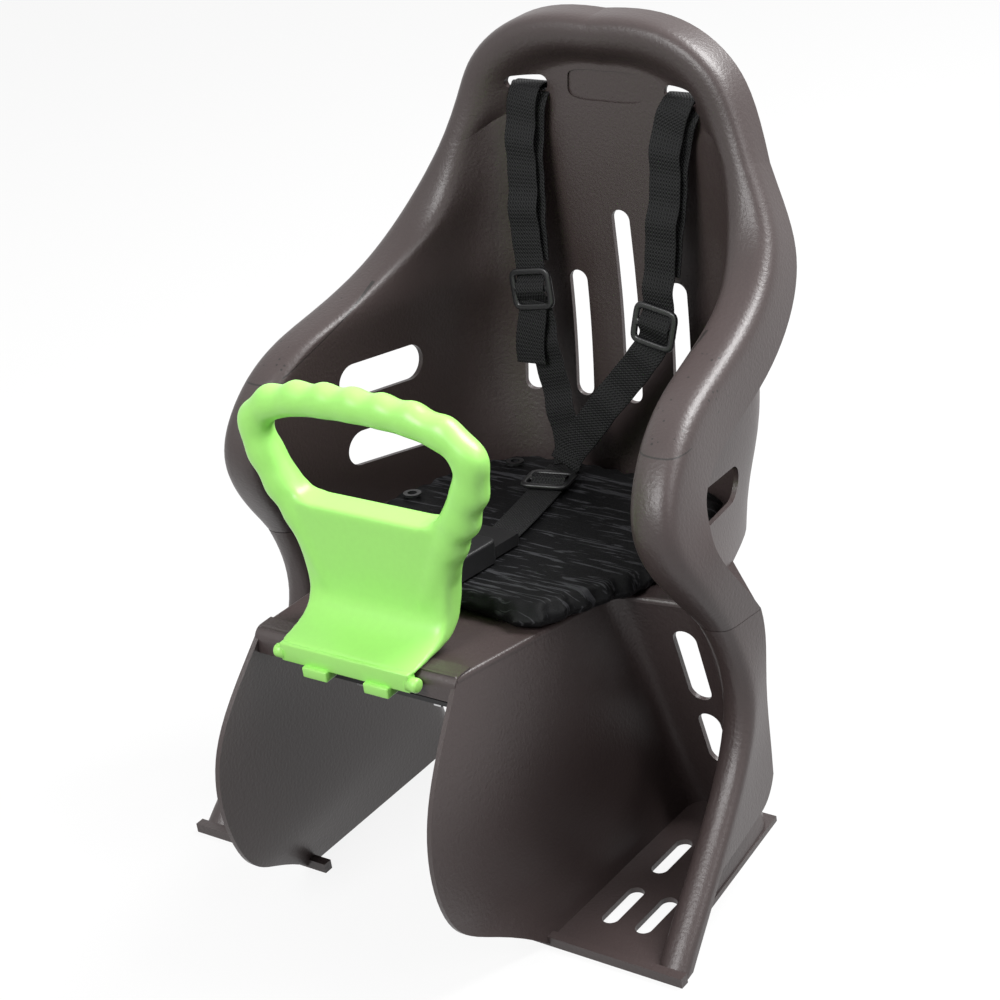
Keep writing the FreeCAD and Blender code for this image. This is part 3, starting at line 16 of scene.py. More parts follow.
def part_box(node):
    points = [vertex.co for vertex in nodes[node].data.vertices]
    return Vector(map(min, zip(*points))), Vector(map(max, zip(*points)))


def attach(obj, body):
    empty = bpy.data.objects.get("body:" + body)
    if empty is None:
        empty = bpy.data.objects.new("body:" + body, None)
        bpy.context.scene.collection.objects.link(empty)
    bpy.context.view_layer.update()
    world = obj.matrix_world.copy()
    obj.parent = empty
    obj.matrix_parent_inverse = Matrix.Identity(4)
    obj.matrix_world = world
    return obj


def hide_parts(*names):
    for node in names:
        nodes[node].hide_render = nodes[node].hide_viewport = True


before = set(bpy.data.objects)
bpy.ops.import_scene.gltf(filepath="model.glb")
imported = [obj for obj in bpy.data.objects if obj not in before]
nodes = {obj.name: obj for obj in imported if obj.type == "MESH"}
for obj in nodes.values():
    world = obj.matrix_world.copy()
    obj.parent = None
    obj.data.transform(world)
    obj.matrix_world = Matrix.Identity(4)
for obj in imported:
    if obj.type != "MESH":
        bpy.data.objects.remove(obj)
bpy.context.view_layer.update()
print("CAD nodes:", len(nodes))

# %% [markdown]
# ## Frames of reference
# Points are written in millimetres from the toe edge, the front edge of the foot floors, as a designer would
# measure them on the seat. `place` moves them to the part's origin and turns them into metres. The pan slopes, so
# pieces that lie on it are written in its own frame and go through `on_pan` first.

# %% Frame helpers
TOE_TO_ORIGIN = 124.6
PAN_SLOPE = math.radians(6.0)
PAN_START = np.array([0.0, -24.0, 210.0])
MILLIMETRES = 1000.0


def place(points):
    """Metres in the part's frame for points in millimetres from the toe edge: shift back, then scale."""
    return (np.asarray(points, float) - [0.0, TOE_TO_ORIGIN, 0.0]) / MILLIMETRES


def on_pan(points):
    """Points of the pan's frame turned down by its slope about X and moved to its front edge."""
    points = np.asarray(points, float)
    c, s = math.cos(PAN_SLOPE), math.sin(PAN_SLOPE)
    turned = np.stack([points[..., 0], points[..., 1] * c + points[..., 2] * s,
                       -points[..., 1] * s + points[..., 2] * c], axis=-1)
    return turned + PAN_START


print("pan front edge:", place(PAN_START).round(4).tolist())

# %% [markdown]
# ## Meshes from grids
# Most pieces here are a closed section carried along a line: a tube. Its points are a grid with one row for each
# station and one column for each point round the section, so the faces follow from the grid's size alone.

# %% Grid helpers
def mesh_piece(name, points, faces, weave=None):
    """Mesh object from points in metres and faces, shaded smooth, with an optional pair of surface coordinates."""
    mesh = bpy.data.meshes.new(name)
    mesh.from_pydata(np.asarray(points, float).tolist(), [], faces)
    if weave is not None:
        layer = mesh.attributes.new("weave", "FLOAT2", "POINT")
        layer.data.foreach_set("vector", np.asarray(weave, np.float32).ravel())
    mesh.polygons.foreach_set("use_smooth", [True] * len(mesh.polygons))
    mesh.update()
    piece = bpy.data.objects.new(name, mesh)
    bpy.context.scene.collection.objects.link(piece)
    return piece


def tube_faces(rows, columns, ring=False):
    """Quads of a grid whose columns run round a section; its ends meet in a ring or have a flat cap each."""
    i, j = np.meshgrid(np.arange(rows if ring else rows - 1), np.arange(columns), indexing="ij")
    beside, ahead = (j + 1) % columns, (i + 1) % rows
    quads = np.stack([i * columns + j, i * columns + beside, ahead * columns + beside, ahead * columns + j], -1)
    faces = quads.reshape(-1, 4).tolist()
    if not ring:
        faces.append(list(range(columns))[::-1])
        faces.append(list(range((rows - 1) * columns, rows * columns)))
    return faces


print("quads of a 3 by 8 tube:", len(tube_faces(3, 8)) - 2)

# %% [markdown]
# ## Lines and sections
# A tube needs a line to follow and a section to carry. The lines go through a few stops that were measured on the seat.
# A Bezier curve could join them, but its handles would have to be set by hand; a Catmull-Rom curve needs the stops
# alone. The sections are superellipses, which go from an oval to a nearly square bar by one number.

# %% Line helpers
FINE_STEPS = 24


def smooth_path(stops, count):
    """Points evenly spread on a Catmull-Rom curve through the stops, and the length run up to each."""
    stops = np.asarray(stops, float)
    padded = np.vstack([2 * stops[0] - stops[1], stops, 2 * stops[-1] - stops[-2]])
    t = np.linspace(0, len(stops) - 1 - 1e-9, FINE_STEPS * len(stops))
    k = t.astype(int)
    f = (t - k)[:, None]
    p0, p1, p2, p3 = (padded[k + n] for n in range(4))
    fine = 0.5 * (2 * p1 + (p2 - p0) * f + (2 * p0 - 5 * p1 + 4 * p2 - p3) * f ** 2
                  + (3 * p1 - p0 - 3 * p2 + p3) * f ** 3)
    run = np.concatenate([[0], np.cumsum(np.linalg.norm(np.diff(fine, axis=0), axis=1))])
    even = np.linspace(0, run[-1], count)
    return np.stack([np.interp(even, run, fine[:, axis]) for axis in range(fine.shape[1])], 1), even


def rounded_section(count, power):
    """Unit rounded rectangle: a superellipse of the given power, as count points round it."""
    angle = np.linspace(0, 2 * np.pi, count, endpoint=False)
    c, s = np.cos(angle), np.sin(angle)
    return np.stack([np.sign(c) * np.abs(c) ** (2 / power), np.sign(s) * np.abs(s) ** (2 / power)], 1)


def unit(vectors):
    """Vectors scaled to length one."""
    return vectors / np.linalg.norm(vectors, axis=-1, keepdims=True)


print("length of a straight line of 3:", smooth_path([(0, 0, 0), (1, 0, 0), (3, 0, 0)], 7)[1][-1].round(3))

# %% [markdown]
# ## A grain that all the mouldings share
# Moulded plastic and cloth both scatter light from a fine relief. A picture of the relief could be wrapped on each
# piece, but a noise needs no unwrapping and has no seams. One node group turns a noise on Object coordinates into a
# bumped normal, and each material places it with its own scale and strength.

# %% Grain group
def grain_group():
    """Node group: a fine noise of a given scale turned into a bumped normal, with the noise itself beside it."""
    group = bpy.data.node_groups.new("grain", "ShaderNodeTree")
    for name, kind in (("Vector", "NodeSocketVector"), ("Scale", "NodeSocketFloat"),
                       ("Strength", "NodeSocketFloat"), ("Depth", "NodeSocketFloat")):
        group.interface.new_socket(name, in_out="INPUT", socket_type=kind)
    group.interface.new_socket("Normal", in_out="OUTPUT", socket_type="NodeSocketVector")
    group.interface.new_socket("Fac", in_out="OUTPUT", socket_type="NodeSocketFloat")
    start = group.nodes.new("NodeGroupInput")
    end = group.nodes.new("NodeGroupOutput")
    noise = group.nodes.new("ShaderNodeTexNoise")
    noise.inputs["Detail"].default_value = 3.0
    bump = group.nodes.new("ShaderNodeBump")
    link = group.links.new
    link(start.outputs["Vector"], noise.inputs["Vector"])
    link(start.outputs["Scale"], noise.inputs["Scale"])
    link(start.outputs["Strength"], bump.inputs["Strength"])
    link(start.outputs["Depth"], bump.inputs["Distance"])
    link(noise.outputs["Fac"], bump.inputs["Height"])
    link(bump.outputs["Normal"], end.inputs["Normal"])
    link(noise.outputs["Fac"], end.inputs["Fac"])
    return group


GRAIN = grain_group()


def add_grain(tree, vector, scale, strength, depth):
    """Place the grain group in a material and give it a vector, a scale per metre, a strength and a depth."""
    group = tree.nodes.new("ShaderNodeGroup")
    group.node_tree = GRAIN
    for socket, value in zip(("Scale", "Strength", "Depth"), (scale, strength, depth)):
        group.inputs[socket].default_value = value
    tree.links.new(vector, group.inputs["Vector"])
    return group


print("group sockets:", len(GRAIN.interface.items_tree))

# %% [markdown]
# ## Two small node helpers
# Masks are sums and products of plain numbers, and colours are mixed by them. Each such node could be set up line by
# line; a helper that takes sockets or numbers lets a mask read like the formula that it is.

# %% Node helpers
def calculate(tree, operation, first, second=None):
    """Output of a Math node; each operand is a socket or a plain number."""
    node = tree.nodes.new("ShaderNodeMath")
    node.operation = operation
    for socket, value in zip(node.inputs, (first, second)):
        if isinstance(value, (int, float)):
            socket.default_value = value
        elif value is not None:
            tree.links.new(value, socket)
    return node.outputs["Value"]


def blended(tree, factor, first, second):
    """Output of a colour mix from one plain colour to another by a factor."""
    mix = tree.nodes.new("ShaderNodeMix")
    mix.data_type = "RGBA"
    mix.inputs["A"].default_value = (*first, 1.0)
    mix.inputs["B"].default_value = (*second, 1.0)
    tree.links.new(factor, mix.inputs["Factor"])
    return mix.outputs["Result"]


print("node groups:", [group.name for group in bpy.data.node_groups])

# %% [markdown]
# ## Plain finishes
# The slides and the buckle are black nylon, the rack clamp is painted steel and its fasteners are plated. Each is a
# Principled shader with a light grain; the grain also shifts the colour a little, as no moulding is one even tone.

# %% Plain materials
def material(name, colour, roughness, metallic=0.0, grain=(400.0, 0.05, 0.0003), shift=0.85):
    """Principled material; grain gives scale, strength and depth of its bump, shift the darker share of its colour."""
    made = bpy.data.materials.new(name)
    made.use_nodes = True
    tree = made.node_tree
    shader = tree.nodes["Principled BSDF"]
    shader.inputs["Roughness"].default_value = roughness
    shader.inputs["Metallic"].default_value = metallic
    coordinates = tree.nodes.new("ShaderNodeTexCoord")
    group = add_grain(tree, coordinates.outputs["Object"], *grain)
    darker = tuple(channel * shift for channel in colour)
    tree.links.new(blended(tree, group.outputs["Fac"], darker, colour), shader.inputs["Base Color"])
    tree.links.new(group.outputs["Normal"], shader.inputs["Normal"])
    return made


black_finish = material("black_plastic", (0.015, 0.015, 0.016), 0.34, grain=(500.0, 0.10, 0.0004))
clamp_finish = material("clamp_paint", (0.020, 0.020, 0.021), 0.42, grain=(650.0, 0.12, 0.0003))
steel_finish = material("plated_steel", (0.62, 0.62, 0.63), 0.28, metallic=1.0, grain=(900.0, 0.06, 0.0002))
handle_finish = material("handle_plastic", (0.40, 0.88, 0.19), 0.36, grain=(240.0, 0.06, 0.0004), shift=0.94)
print("plain finishes:", [made.name for made in (black_finish, clamp_finish, steel_finish, handle_finish)])

# %% [markdown]
# ## The shell's finish
# The shell is brown polypropylene with a leather grain. The tool that moulds it leaves fine lines: one runs level
# across each arm and one along its inner edge, and a few pits lie on the ridge between them. Lines could be cut in the
# CAD, but they are hair-thin, so they are masks here: a line is where the distance from a plane is near nothing.

# %% Shell material
SHELL_BROWN = (0.053, 0.038, 0.037)
MARK_BROWN = (0.014, 0.011, 0.010)
ARM_LINE_HEIGHT = 0.3195
EDGE_LINE_RISE = 0.3386
EDGE_LINE_HEIGHT = 0.32737
LINE_HALF_WIDTH = 0.0004
# ranges in metres: distance beside the middle, distance back and height
ARM_LINE_BESIDE, ARM_LINE_BACK = (0.146, 0.2), (-0.1, -0.006)
EDGE_LINE_BESIDE, EDGE_LINE_BACK = (0.128, 0.149), (-0.016, 0.083)
PIT_BESIDE, PIT_BACK, PIT_HEIGHT = (0.146, 0.172), (-0.02, 0.07), (0.322, 0.37)
PITS_PER_METRE = 210.0
PIT_RADIUS = 0.18
PIT_RARITY = 0.55


def shell_material():
    """Grained brown plastic; the mask is the larger of two plane lines and of small pits on the arms."""
    made = material("shell_plastic", SHELL_BROWN, 0.40, grain=(430.0, 0.30, 0.0009))
    tree = made.node_tree
    shader = tree.nodes["Principled BSDF"]
    shader.inputs["Specular IOR Level"].default_value = 0.55
    coordinates = tree.nodes.new("ShaderNodeTexCoord")
    split = tree.nodes.new("ShaderNodeSeparateXYZ")
    tree.links.new(coordinates.outputs["Object"], split.inputs["Vector"])
    beside = calculate(tree, "ABSOLUTE", split.outputs["X"])
    back, height = split.outputs["Y"], split.outputs["Z"]

    def within(value, low, high):
        """One between two limits, else nothing."""
        return calculate(tree, "MULTIPLY", calculate(tree, "GREATER_THAN", value, low),
                         calculate(tree, "LESS_THAN", value, high))

    across = calculate(tree, "ABSOLUTE", calculate(tree, "SUBTRACT", height, ARM_LINE_HEIGHT))
    across = calculate(tree, "MULTIPLY", calculate(tree, "LESS_THAN", across, LINE_HALF_WIDTH),
                       calculate(tree, "MULTIPLY", within(beside, *ARM_LINE_BESIDE), within(back, *ARM_LINE_BACK)))
    rise = calculate(tree, "MULTIPLY", back, EDGE_LINE_RISE)
    along = calculate(tree, "SUBTRACT", calculate(tree, "SUBTRACT", height, rise), EDGE_LINE_HEIGHT)
    along = calculate(tree, "LESS_THAN", calculate(tree, "ABSOLUTE", along), LINE_HALF_WIDTH)
    edge = calculate(tree, "MULTIPLY", within(beside, *EDGE_LINE_BESIDE), within(back, *EDGE_LINE_BACK))
    along = calculate(tree, "MULTIPLY", along, edge)
    cells = tree.nodes.new("ShaderNodeTexVoronoi")
    cells.inputs["Scale"].default_value = PITS_PER_METRE
    tree.links.new(coordinates.outputs["Object"], cells.inputs["Vector"])
    chance = tree.nodes.new("ShaderNodeSeparateColor")
    tree.links.new(cells.outputs["Color"], chance.inputs["Color"])
    pits = calculate(tree, "MULTIPLY", calculate(tree, "LESS_THAN", cells.outputs["Distance"], PIT_RADIUS),
                     calculate(tree, "GREATER_THAN", chance.outputs["Red"], PIT_RARITY))
    area = calculate(tree, "MULTIPLY", within(beside, *PIT_BESIDE), within(back, *PIT_BACK))
    pits = calculate(tree, "MULTIPLY", pits, calculate(tree, "MULTIPLY", area, within(height, *PIT_HEIGHT)))
    mask = calculate(tree, "MAXIMUM", calculate(tree, "MAXIMUM", across, along), pits)
    plain = shader.inputs["Base Color"].links[0].from_socket
    marked = tree.nodes.new("ShaderNodeMix")
    marked.data_type = "RGBA"
    marked.inputs["B"].default_value = (*MARK_BROWN, 1.0)
    tree.links.new(mask, marked.inputs["Factor"])
    tree.links.new(plain, marked.inputs["A"])
    tree.links.new(marked.outputs["Result"], shader.inputs["Base Color"])
    return made


shell_finish = shell_material()
print("shell nodes:", len(shell_finish.node_tree.nodes))

# %% [markdown]
# ## The pad's fabric
# The cover is a black polyester printed with broken grey streaks that run across the seat, like wood grain. They could
# be drawn as strokes; a noise that is stretched across the seat and cut at a level gives the same broken strokes and
# never repeats. A finer grain makes the weave.

# %% Pad material
STREAKS_PER_METRE = (19.0, 175.0, 60.0)
STREAK_LEVELS = (0.555, 0.61)
CLOTH_BLACK = (0.0045, 0.0045, 0.005)
STREAK_GREY = (0.040, 0.040, 0.044)


def pad_material():
    """Black fabric with streaks across the seat: noise stretched along X, cut sharply to thin strokes."""
    made = material("pad_fabric", CLOTH_BLACK, 0.58, grain=(800.0, 0.35, 0.0006))
    tree = made.node_tree
    shader = tree.nodes["Principled BSDF"]
    coordinates = tree.nodes.new("ShaderNodeTexCoord")
    stretch = tree.nodes.new("ShaderNodeMapping")
    stretch.inputs["Scale"].default_value = STREAKS_PER_METRE
    streaks = tree.nodes.new("ShaderNodeTexNoise")
    streaks.inputs["Scale"].default_value = 1.0
    streaks.inputs["Detail"].default_value = 5.0
    streaks.inputs["Distortion"].default_value = 1.7
    cut = tree.nodes.new("ShaderNodeMapRange")
    cut.inputs["From Min"].default_value, cut.inputs["From Max"].default_value = STREAK_LEVELS
    link = tree.links.new
    link(coordinates.outputs["Object"], stretch.inputs["Vector"])
    link(stretch.outputs["Vector"], streaks.inputs["Vector"])
    link(streaks.outputs["Fac"], cut.inputs["Value"])
    link(blended(tree, cut.outputs["Result"], CLOTH_BLACK, STREAK_GREY), shader.inputs["Base Color"])
    shader.inputs["Specular IOR Level"].default_value = 0.11
    return made


pad_finish = pad_material()
print("pad nodes:", len(pad_finish.node_tree.nodes))

# %% [markdown]
# ## The webbing's weave
# Polypropylene webbing shows rows of small ribs across the strap. They follow the strap round its bends, so they can't
# lie on Object coordinates: each strap carries its own pair of surface coordinates, across and along, and two sines
# of them make the ribs, along with a painted highlight that lightens the rib tops above the webbing's black.

# %% Webbing material
RIB_ACROSS = 0.0023
RIB_ALONG = 0.0028
CHECK_SHARE, ROW_SHARE = 0.35, 0.15
# the webbing's own black, then a painted highlight for the lit tops of the ribs
RIB_DARK = (0.0022, 0.0022, 0.0024)
RIB_PAINTED_HIGHLIGHT = (0.023, 0.023, 0.024)


def webbing_material():
    """Black ribbed weave: two sines, across and along the strap, give a product and rows that set the bump and a
    painted highlight on the rib tops.
    """
    made = bpy.data.materials.new("webbing")
    made.use_nodes = True
    tree = made.node_tree
    shader = tree.nodes["Principled BSDF"]
    shader.inputs["Roughness"].default_value = 0.62
    shader.inputs["Specular IOR Level"].default_value = 0.22
    attribute = tree.nodes.new("ShaderNodeAttribute")
    attribute.attribute_name = "weave"
    split = tree.nodes.new("ShaderNodeSeparateXYZ")
    tree.links.new(attribute.outputs["Vector"], split.inputs["Vector"])
    waves = [calculate(tree, "SINE", calculate(tree, "MULTIPLY", split.outputs[axis], 2 * math.pi / period))
             for axis, period in (("X", RIB_ACROSS), ("Y", RIB_ALONG))]
    both = calculate(tree, "MULTIPLY", *waves)
    rib_height_and_highlight = calculate(tree, "ADD", calculate(tree, "MULTIPLY", both, CHECK_SHARE),
                     calculate(tree, "MULTIPLY", waves[1], ROW_SHARE))
    rib_height_and_highlight = calculate(tree, "ADD", rib_height_and_highlight, 0.5)
    bump = tree.nodes.new("ShaderNodeBump")
    bump.inputs["Strength"].default_value = 0.9
    bump.inputs["Distance"].default_value = 0.0009
    tree.links.new(rib_height_and_highlight, bump.inputs["Height"])
    # the rib tops are painted lighter: a painted highlight, not a colour of the webbing
    tree.links.new(blended(tree, rib_height_and_highlight, RIB_DARK, RIB_PAINTED_HIGHLIGHT), shader.inputs["Base Color"])
    tree.links.new(bump.outputs["Normal"], shader.inputs["Normal"])
    return made


webbing_finish = webbing_material()
print("webbing nodes:", len(webbing_finish.node_tree.nodes))

# %% [markdown]
# ## Dressing the CAD pieces
# A CAD piece keeps its mesh; only the material in its slots changes. The mouldings could be unwrapped and painted, but
# a finish on Object coordinates fits them all as they are.

# %% Finishes on the CAD nodes
def dress(piece, finish):
    """Give a piece one material in its first slot, or a CAD node that material in every slot."""
    if not piece.data.materials:
        piece.data.materials.append(finish)
    for slot in piece.material_slots:
        slot.material = finish


for name, node in nodes.items():
    if name == "seat_shell":
        dress(node, shell_finish)
    elif name.startswith(("strap_", "buckle_", "pad_eyelets")):
        dress(node, black_finish)
    elif name.startswith("clamp_plate"):
        dress(node, clamp_finish)
    elif name.startswith("clamp_"):
        dress(node, steel_finish)
print("materials:", len(bpy.data.materials))

# %% [markdown]
# ## The grab handle's bar
# The handle is one green moulding: a looped bar over a panel that bends forward to the shell's lip. The bar swells in
# soft waves that give the fingers a hold. A bevelled curve has one radius; here the radius is a formula of the length
# along the loop, so the waves grow on the bar and fade down the legs.

# %% Handle bar
BAR_BACK = 15.0
FINGER_PITCH = 23.0
FINGER_SWELL, FINGER_DEPTH = 1.5, 0.3
LEG_RADIUS, LEG_DEPTH = 12.8, 12.4
BAR_SLIMMER, BAR_FLATTER = 1.5, 1.3
# height at which the bar starts to slim or the waves start, and the rise over which they come in
SLIM_FROM, SLIM_OVER = 300.0, 60.0
WAVES_FROM, WAVES_OVER = 262.0, 30.0
BAR_STATIONS, BAR_SIDES = 220, 40
# one side of the loop from foot to top: distance beside the middle and height
LOOP_HALF = np.array([(40, 238), (51, 265), (60, 283), (72.5, 303), (80, 318), (86, 334), (84, 346), (75.5, 355),
                      (62, 360.5), (44, 364.5), (22, 366.2)])
LOOP_TOP = 366.7


def finger_tube():
    """Ring sections along the handle's loop; the outer side swells by a cosine of the length along it."""
    loop = np.vstack([LOOP_HALF, [[0, LOOP_TOP]], LOOP_HALF[::-1] * [-1, 1]])
    path, run = smooth_path(np.stack([loop[:, 0], np.full(len(loop), BAR_BACK), loop[:, 1]], 1), BAR_STATIONS)
    along = unit(np.gradient(path, axis=0))
    depth = np.tile([0.0, 1.0, 0.0], (len(path), 1))
    outward = np.cross(depth, along)
    swell = np.cos(2 * np.pi * (run - run[-1] / 2) / FINGER_PITCH)
    slim = np.clip((path[:, 2] - SLIM_FROM) / SLIM_OVER, 0, 1)
    held = np.clip((path[:, 2] - WAVES_FROM) / WAVES_OVER, 0, 1)
    angle = np.linspace(0, 2 * np.pi, BAR_SIDES, endpoint=False)
    outer = 0.5 + 0.5 * np.cos(angle)
    radial = (LEG_RADIUS - BAR_SLIMMER * slim)[:, None] + FINGER_SWELL * (swell * held)[:, None] * outer
    deep = (LEG_DEPTH - BAR_FLATTER * slim + FINGER_DEPTH * swell * held)[:, None] * np.sin(angle)
    points = path[:, None, :] + (radial * np.cos(angle))[..., None] * outward[:, None, :] \
        + deep[..., None] * depth[:, None, :]
    return points.reshape(-1, 3), tube_faces(len(path), len(angle))


bar_grid = finger_tube()
print("bar points:", len(bar_grid[0]))

# %% [markdown]
# ## The handle's panel
# The panel is a slab that thins and leans forward as it falls, until it lies on the pan as a flange. It is a rounded
# rectangle carried down a line; each station gives the section's place, width, thickness and lean. A small web with a
# hollow arc rounds each corner between the panel's top and a leg, which smoothing alone would leave sharp.

# %% Handle panel
PANEL_STATIONS = np.array([
    # back, height, half width, half thickness, lean of the section in degrees
    (15.0, 296.0, 62.0, 11.5, 0), (15.0, 286.0, 66.0, 11.5, 0), (15.0, 272.0, 64.0, 11.5, 0),
    (15.0, 256.0, 60.0, 11.5, 0), (14.6, 242.0, 58.0, 11.0, 4), (11.5, 229.0, 57.0, 9.5, 26),
    (3.5, 220.5, 56.0, 7.0, 56), (-8.0, 216.2, 55.0, 4.0, 76), (-21.0, 213.8, 54.5, 2.6, 80),
    (-35.6, 211.4, 53.8, 2.4, 80)])
PANEL_ROWS = 120
PANEL_MEAN = 9
PANEL_SECTION = (72, 7.0)
CORNER_RADIUS = 14.0
CORNER_ARC, CORNER_POINTS = (-90.0, -26.7), 14
CORNER_FROM = (46.2, 310.0)
CORNER_DEEP = [(66.0, 301.0), (61.0, 288.0), (46.2, 288.0)]
CORNER_HALF_THICKNESS = 9.0


def panel_slab():
    """Rounded rectangles along the stations, evened by a running mean, leaning forward towards the fold."""
    t = np.linspace(0, len(PANEL_STATIONS) - 1, PANEL_ROWS)
    grid = np.stack([np.interp(t, np.arange(len(PANEL_STATIONS)), column) for column in PANEL_STATIONS.T], 1)
    wide = np.pad(grid, ((PANEL_MEAN // 2, PANEL_MEAN // 2), (0, 0)), mode="edge")
    grid = np.stack([np.convolve(column, np.ones(PANEL_MEAN) / PANEL_MEAN, "valid") for column in wide.T], 1)
    lean = np.radians(grid[:, 4])
    normal = np.stack([np.zeros_like(lean), -np.cos(lean), np.sin(lean)], 1)
    section = rounded_section(*PANEL_SECTION)
    points = np.zeros((len(grid), len(section), 3))
    points[..., 0] = grid[:, None, 2] * section[:, 0]
    points[..., 1] = grid[:, None, 0]
    points[..., 2] = grid[:, None, 1]
    points += (grid[:, None, 3] * section[:, 1])[..., None] * normal[:, None, :]
    return points.reshape(-1, 3), tube_faces(len(grid), len(section))


def corner_web(side):
    """Web in the corner between panel and leg: a hollow arc in the XZ plane, drawn out along Y."""
    angle = np.radians(np.linspace(*CORNER_ARC, CORNER_POINTS))
    arc = np.array(CORNER_FROM) + CORNER_RADIUS * np.stack([np.cos(angle), np.sin(angle)], 1)
    profile = np.vstack([arc, CORNER_DEEP])[::side]
    points = np.zeros((2, len(profile), 3))
    points[..., 0] = side * profile[:, 0]
    points[..., 1] = BAR_BACK + CORNER_HALF_THICKNESS * np.array([[-1.0], [1.0]])
    points[..., 2] = profile[:, 1]
    return points.reshape(-1, 3), tube_faces(2, len(profile))


panel_grid = panel_slab()
corner_grids = [corner_web(side) for side in (1, -1)]
print("panel points:", len(panel_grid[0]), "web points:", len(corner_grids[0][0]))

# %% [markdown]
# ## One skin for the handle
# A moulding has no seam where bar and panel meet, only a soft fillet. A boolean would leave a sharp line, so bar, panel
# and webs are joined by a voxel remesh, and plain smoothing rounds the join.

# %% Handle skin
def joined(parts):
    """Points and faces of several meshes as one."""
    points, faces, start = [], [], 0
    for part_points, part_faces in parts:
        points.append(part_points)
        faces += [[index + start for index in face] for face in part_faces]
        start += len(part_points)
    return np.vstack(points), faces


def baked(piece, name):
    """Mesh of a piece with its modifiers applied, as a new piece; the old one is removed."""
    graph = bpy.context.evaluated_depsgraph_get()
    mesh = bpy.data.meshes.new_from_object(piece.evaluated_get(graph))
    mesh.polygons.foreach_set("use_smooth", [True] * len(mesh.polygons))
    made = bpy.data.objects.new(name, mesh)
    bpy.context.scene.collection.objects.link(made)
    bpy.data.objects.remove(piece)
    return made


def moulded(name, parts, voxel, smoothing):
    """One skin over overlapping solids: voxel remesh, then plain smoothing."""
    points, faces = joined(parts)
    rough = mesh_piece(name + "_rough", place(points), faces)
    remesh = rough.modifiers.new("one_skin", "REMESH")
    remesh.mode = "VOXEL"
    remesh.voxel_size = voxel
    remesh.use_smooth_shade = True
    smooth = rough.modifiers.new("soften", "SMOOTH")
    smooth.factor = 0.5
    smooth.iterations = smoothing
    return baked(rough, name)


HANDLE_VOXEL = 0.0018
HANDLE_SMOOTHING = 12
handle = moulded("handle_moulding", [bar_grid, panel_grid] + corner_grids, HANDLE_VOXEL, HANDLE_SMOOTHING)
print("handle points:", len(handle.data.vertices))

# %% [markdown]
# ## The handle's fold, hooks and rod
# The flange ends in a fold over the lip. Two hooks under the fold hold it there, and the ends of a rod stand out at
# its sides. They could go into the voxel skin too, but it would blur their small edges. So the fold and hooks are boxes
# with a bevel, and the rod's ends are a profile turned about the X axis.

# %% Fold, hooks and knobs
ROD_BACK = -33.2
ROD_HEIGHT = 205.4
ROD_HALF_LENGTH = 54.0
# distance along the rod's end and its radius there
KNOB_PROFILE = np.array([(-4.0, 4.8), (2.6, 4.8), (3.6, 4.4), (4.2, 3.4)])
KNOB_SIDES = 36
FOLD_CORNERS = ((-52.5, -36.4, 200.0), (52.5, -28.6, 213.4))
# place of each hook across the seat, and distance back and height of its two corners
HOOKS_ACROSS = {"left": 27.0, "right": -23.0}
HOOK_HALF_WIDTH = 10.0
HOOK_LOW, HOOK_HIGH = (-40.0, 194.0), (-28.6, 201.5)
EDGE_ROUND = 1.2


def rounded_box(name, low, high, bevel):
    """Box between two corners in millimetres from the toe edge, with rounded edges."""
    corners = np.array([[x, y, z] for x in (low[0], high[0]) for y in (low[1], high[1]) for z in (low[2], high[2])])
    faces = [(0, 1, 3, 2), (4, 6, 7, 5), (0, 4, 5, 1), (2, 3, 7, 6), (0, 2, 6, 4), (1, 5, 7, 3)]
    piece = mesh_piece(name, place(corners), faces)
    modifier = piece.modifiers.new("edges", "BEVEL")
    modifier.width = bevel / MILLIMETRES
    modifier.segments = 3
    return piece


def knob(name, across):
    """Short round end of the handle's rod: a profile turned about X, ending in a flat face."""
    angle = np.linspace(0, 2 * np.pi, KNOB_SIDES, endpoint=False)
    points = np.zeros((len(KNOB_PROFILE), len(angle), 3))
    points[..., 0] = across + math.copysign(1, across) * KNOB_PROFILE[:, None, 0]
    points[..., 1] = ROD_BACK + KNOB_PROFILE[:, 1:] * np.cos(angle)
    points[..., 2] = ROD_HEIGHT + KNOB_PROFILE[:, 1:] * np.sin(angle)
    faces = tube_faces(len(KNOB_PROFILE), len(angle))
    if across < 0:
        faces = [face[::-1] for face in faces]
    return mesh_piece(name, place(points.reshape(-1, 3)), faces)


fold = rounded_box("handle_fold", *FOLD_CORNERS, EDGE_ROUND)
hooks = [rounded_box(f"handle_hook_{tag}", (x - HOOK_HALF_WIDTH, *HOOK_LOW), (x + HOOK_HALF_WIDTH, *HOOK_HIGH),
                     EDGE_ROUND) for tag, x in HOOKS_ACROSS.items()]
knobs = [knob("handle_knob_left", ROD_HALF_LENGTH), knob("handle_knob_right", -ROD_HALF_LENGTH)]
for piece in [handle, fold] + hooks + knobs:
    dress(piece, handle_finish)
    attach(piece, "root")
    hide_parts("grab_handle")
print("handle pieces:", 2 + len(hooks) + len(knobs))

# %% [markdown]
# ## The pad
# The pad is a foam slab in a cover whose edge is gathered by an elastic hem, so it swells in the middle and puckers at
# the rim. A bevelled box would have an even rim. So the slab is a grid of rings that shrink from the outline to the
# middle, and the puckers start as a wave in the outer rings.

# %% Pad slab
PUCKERS = 46
PUCKERS_FROM, PUCKERS_OVER = 0.84, 0.16
PUCKER_SHARE = 0.010
PUCKER_RISE = 1.7
PAD_MIDDLE = np.array([0.0, 192.0])
PAD_EDGE_HEIGHT = 11.0
PAD_TOP_RISE = 2.4
PAD_BOTTOM_DROP = 7.6
PAD_POINTS = 260
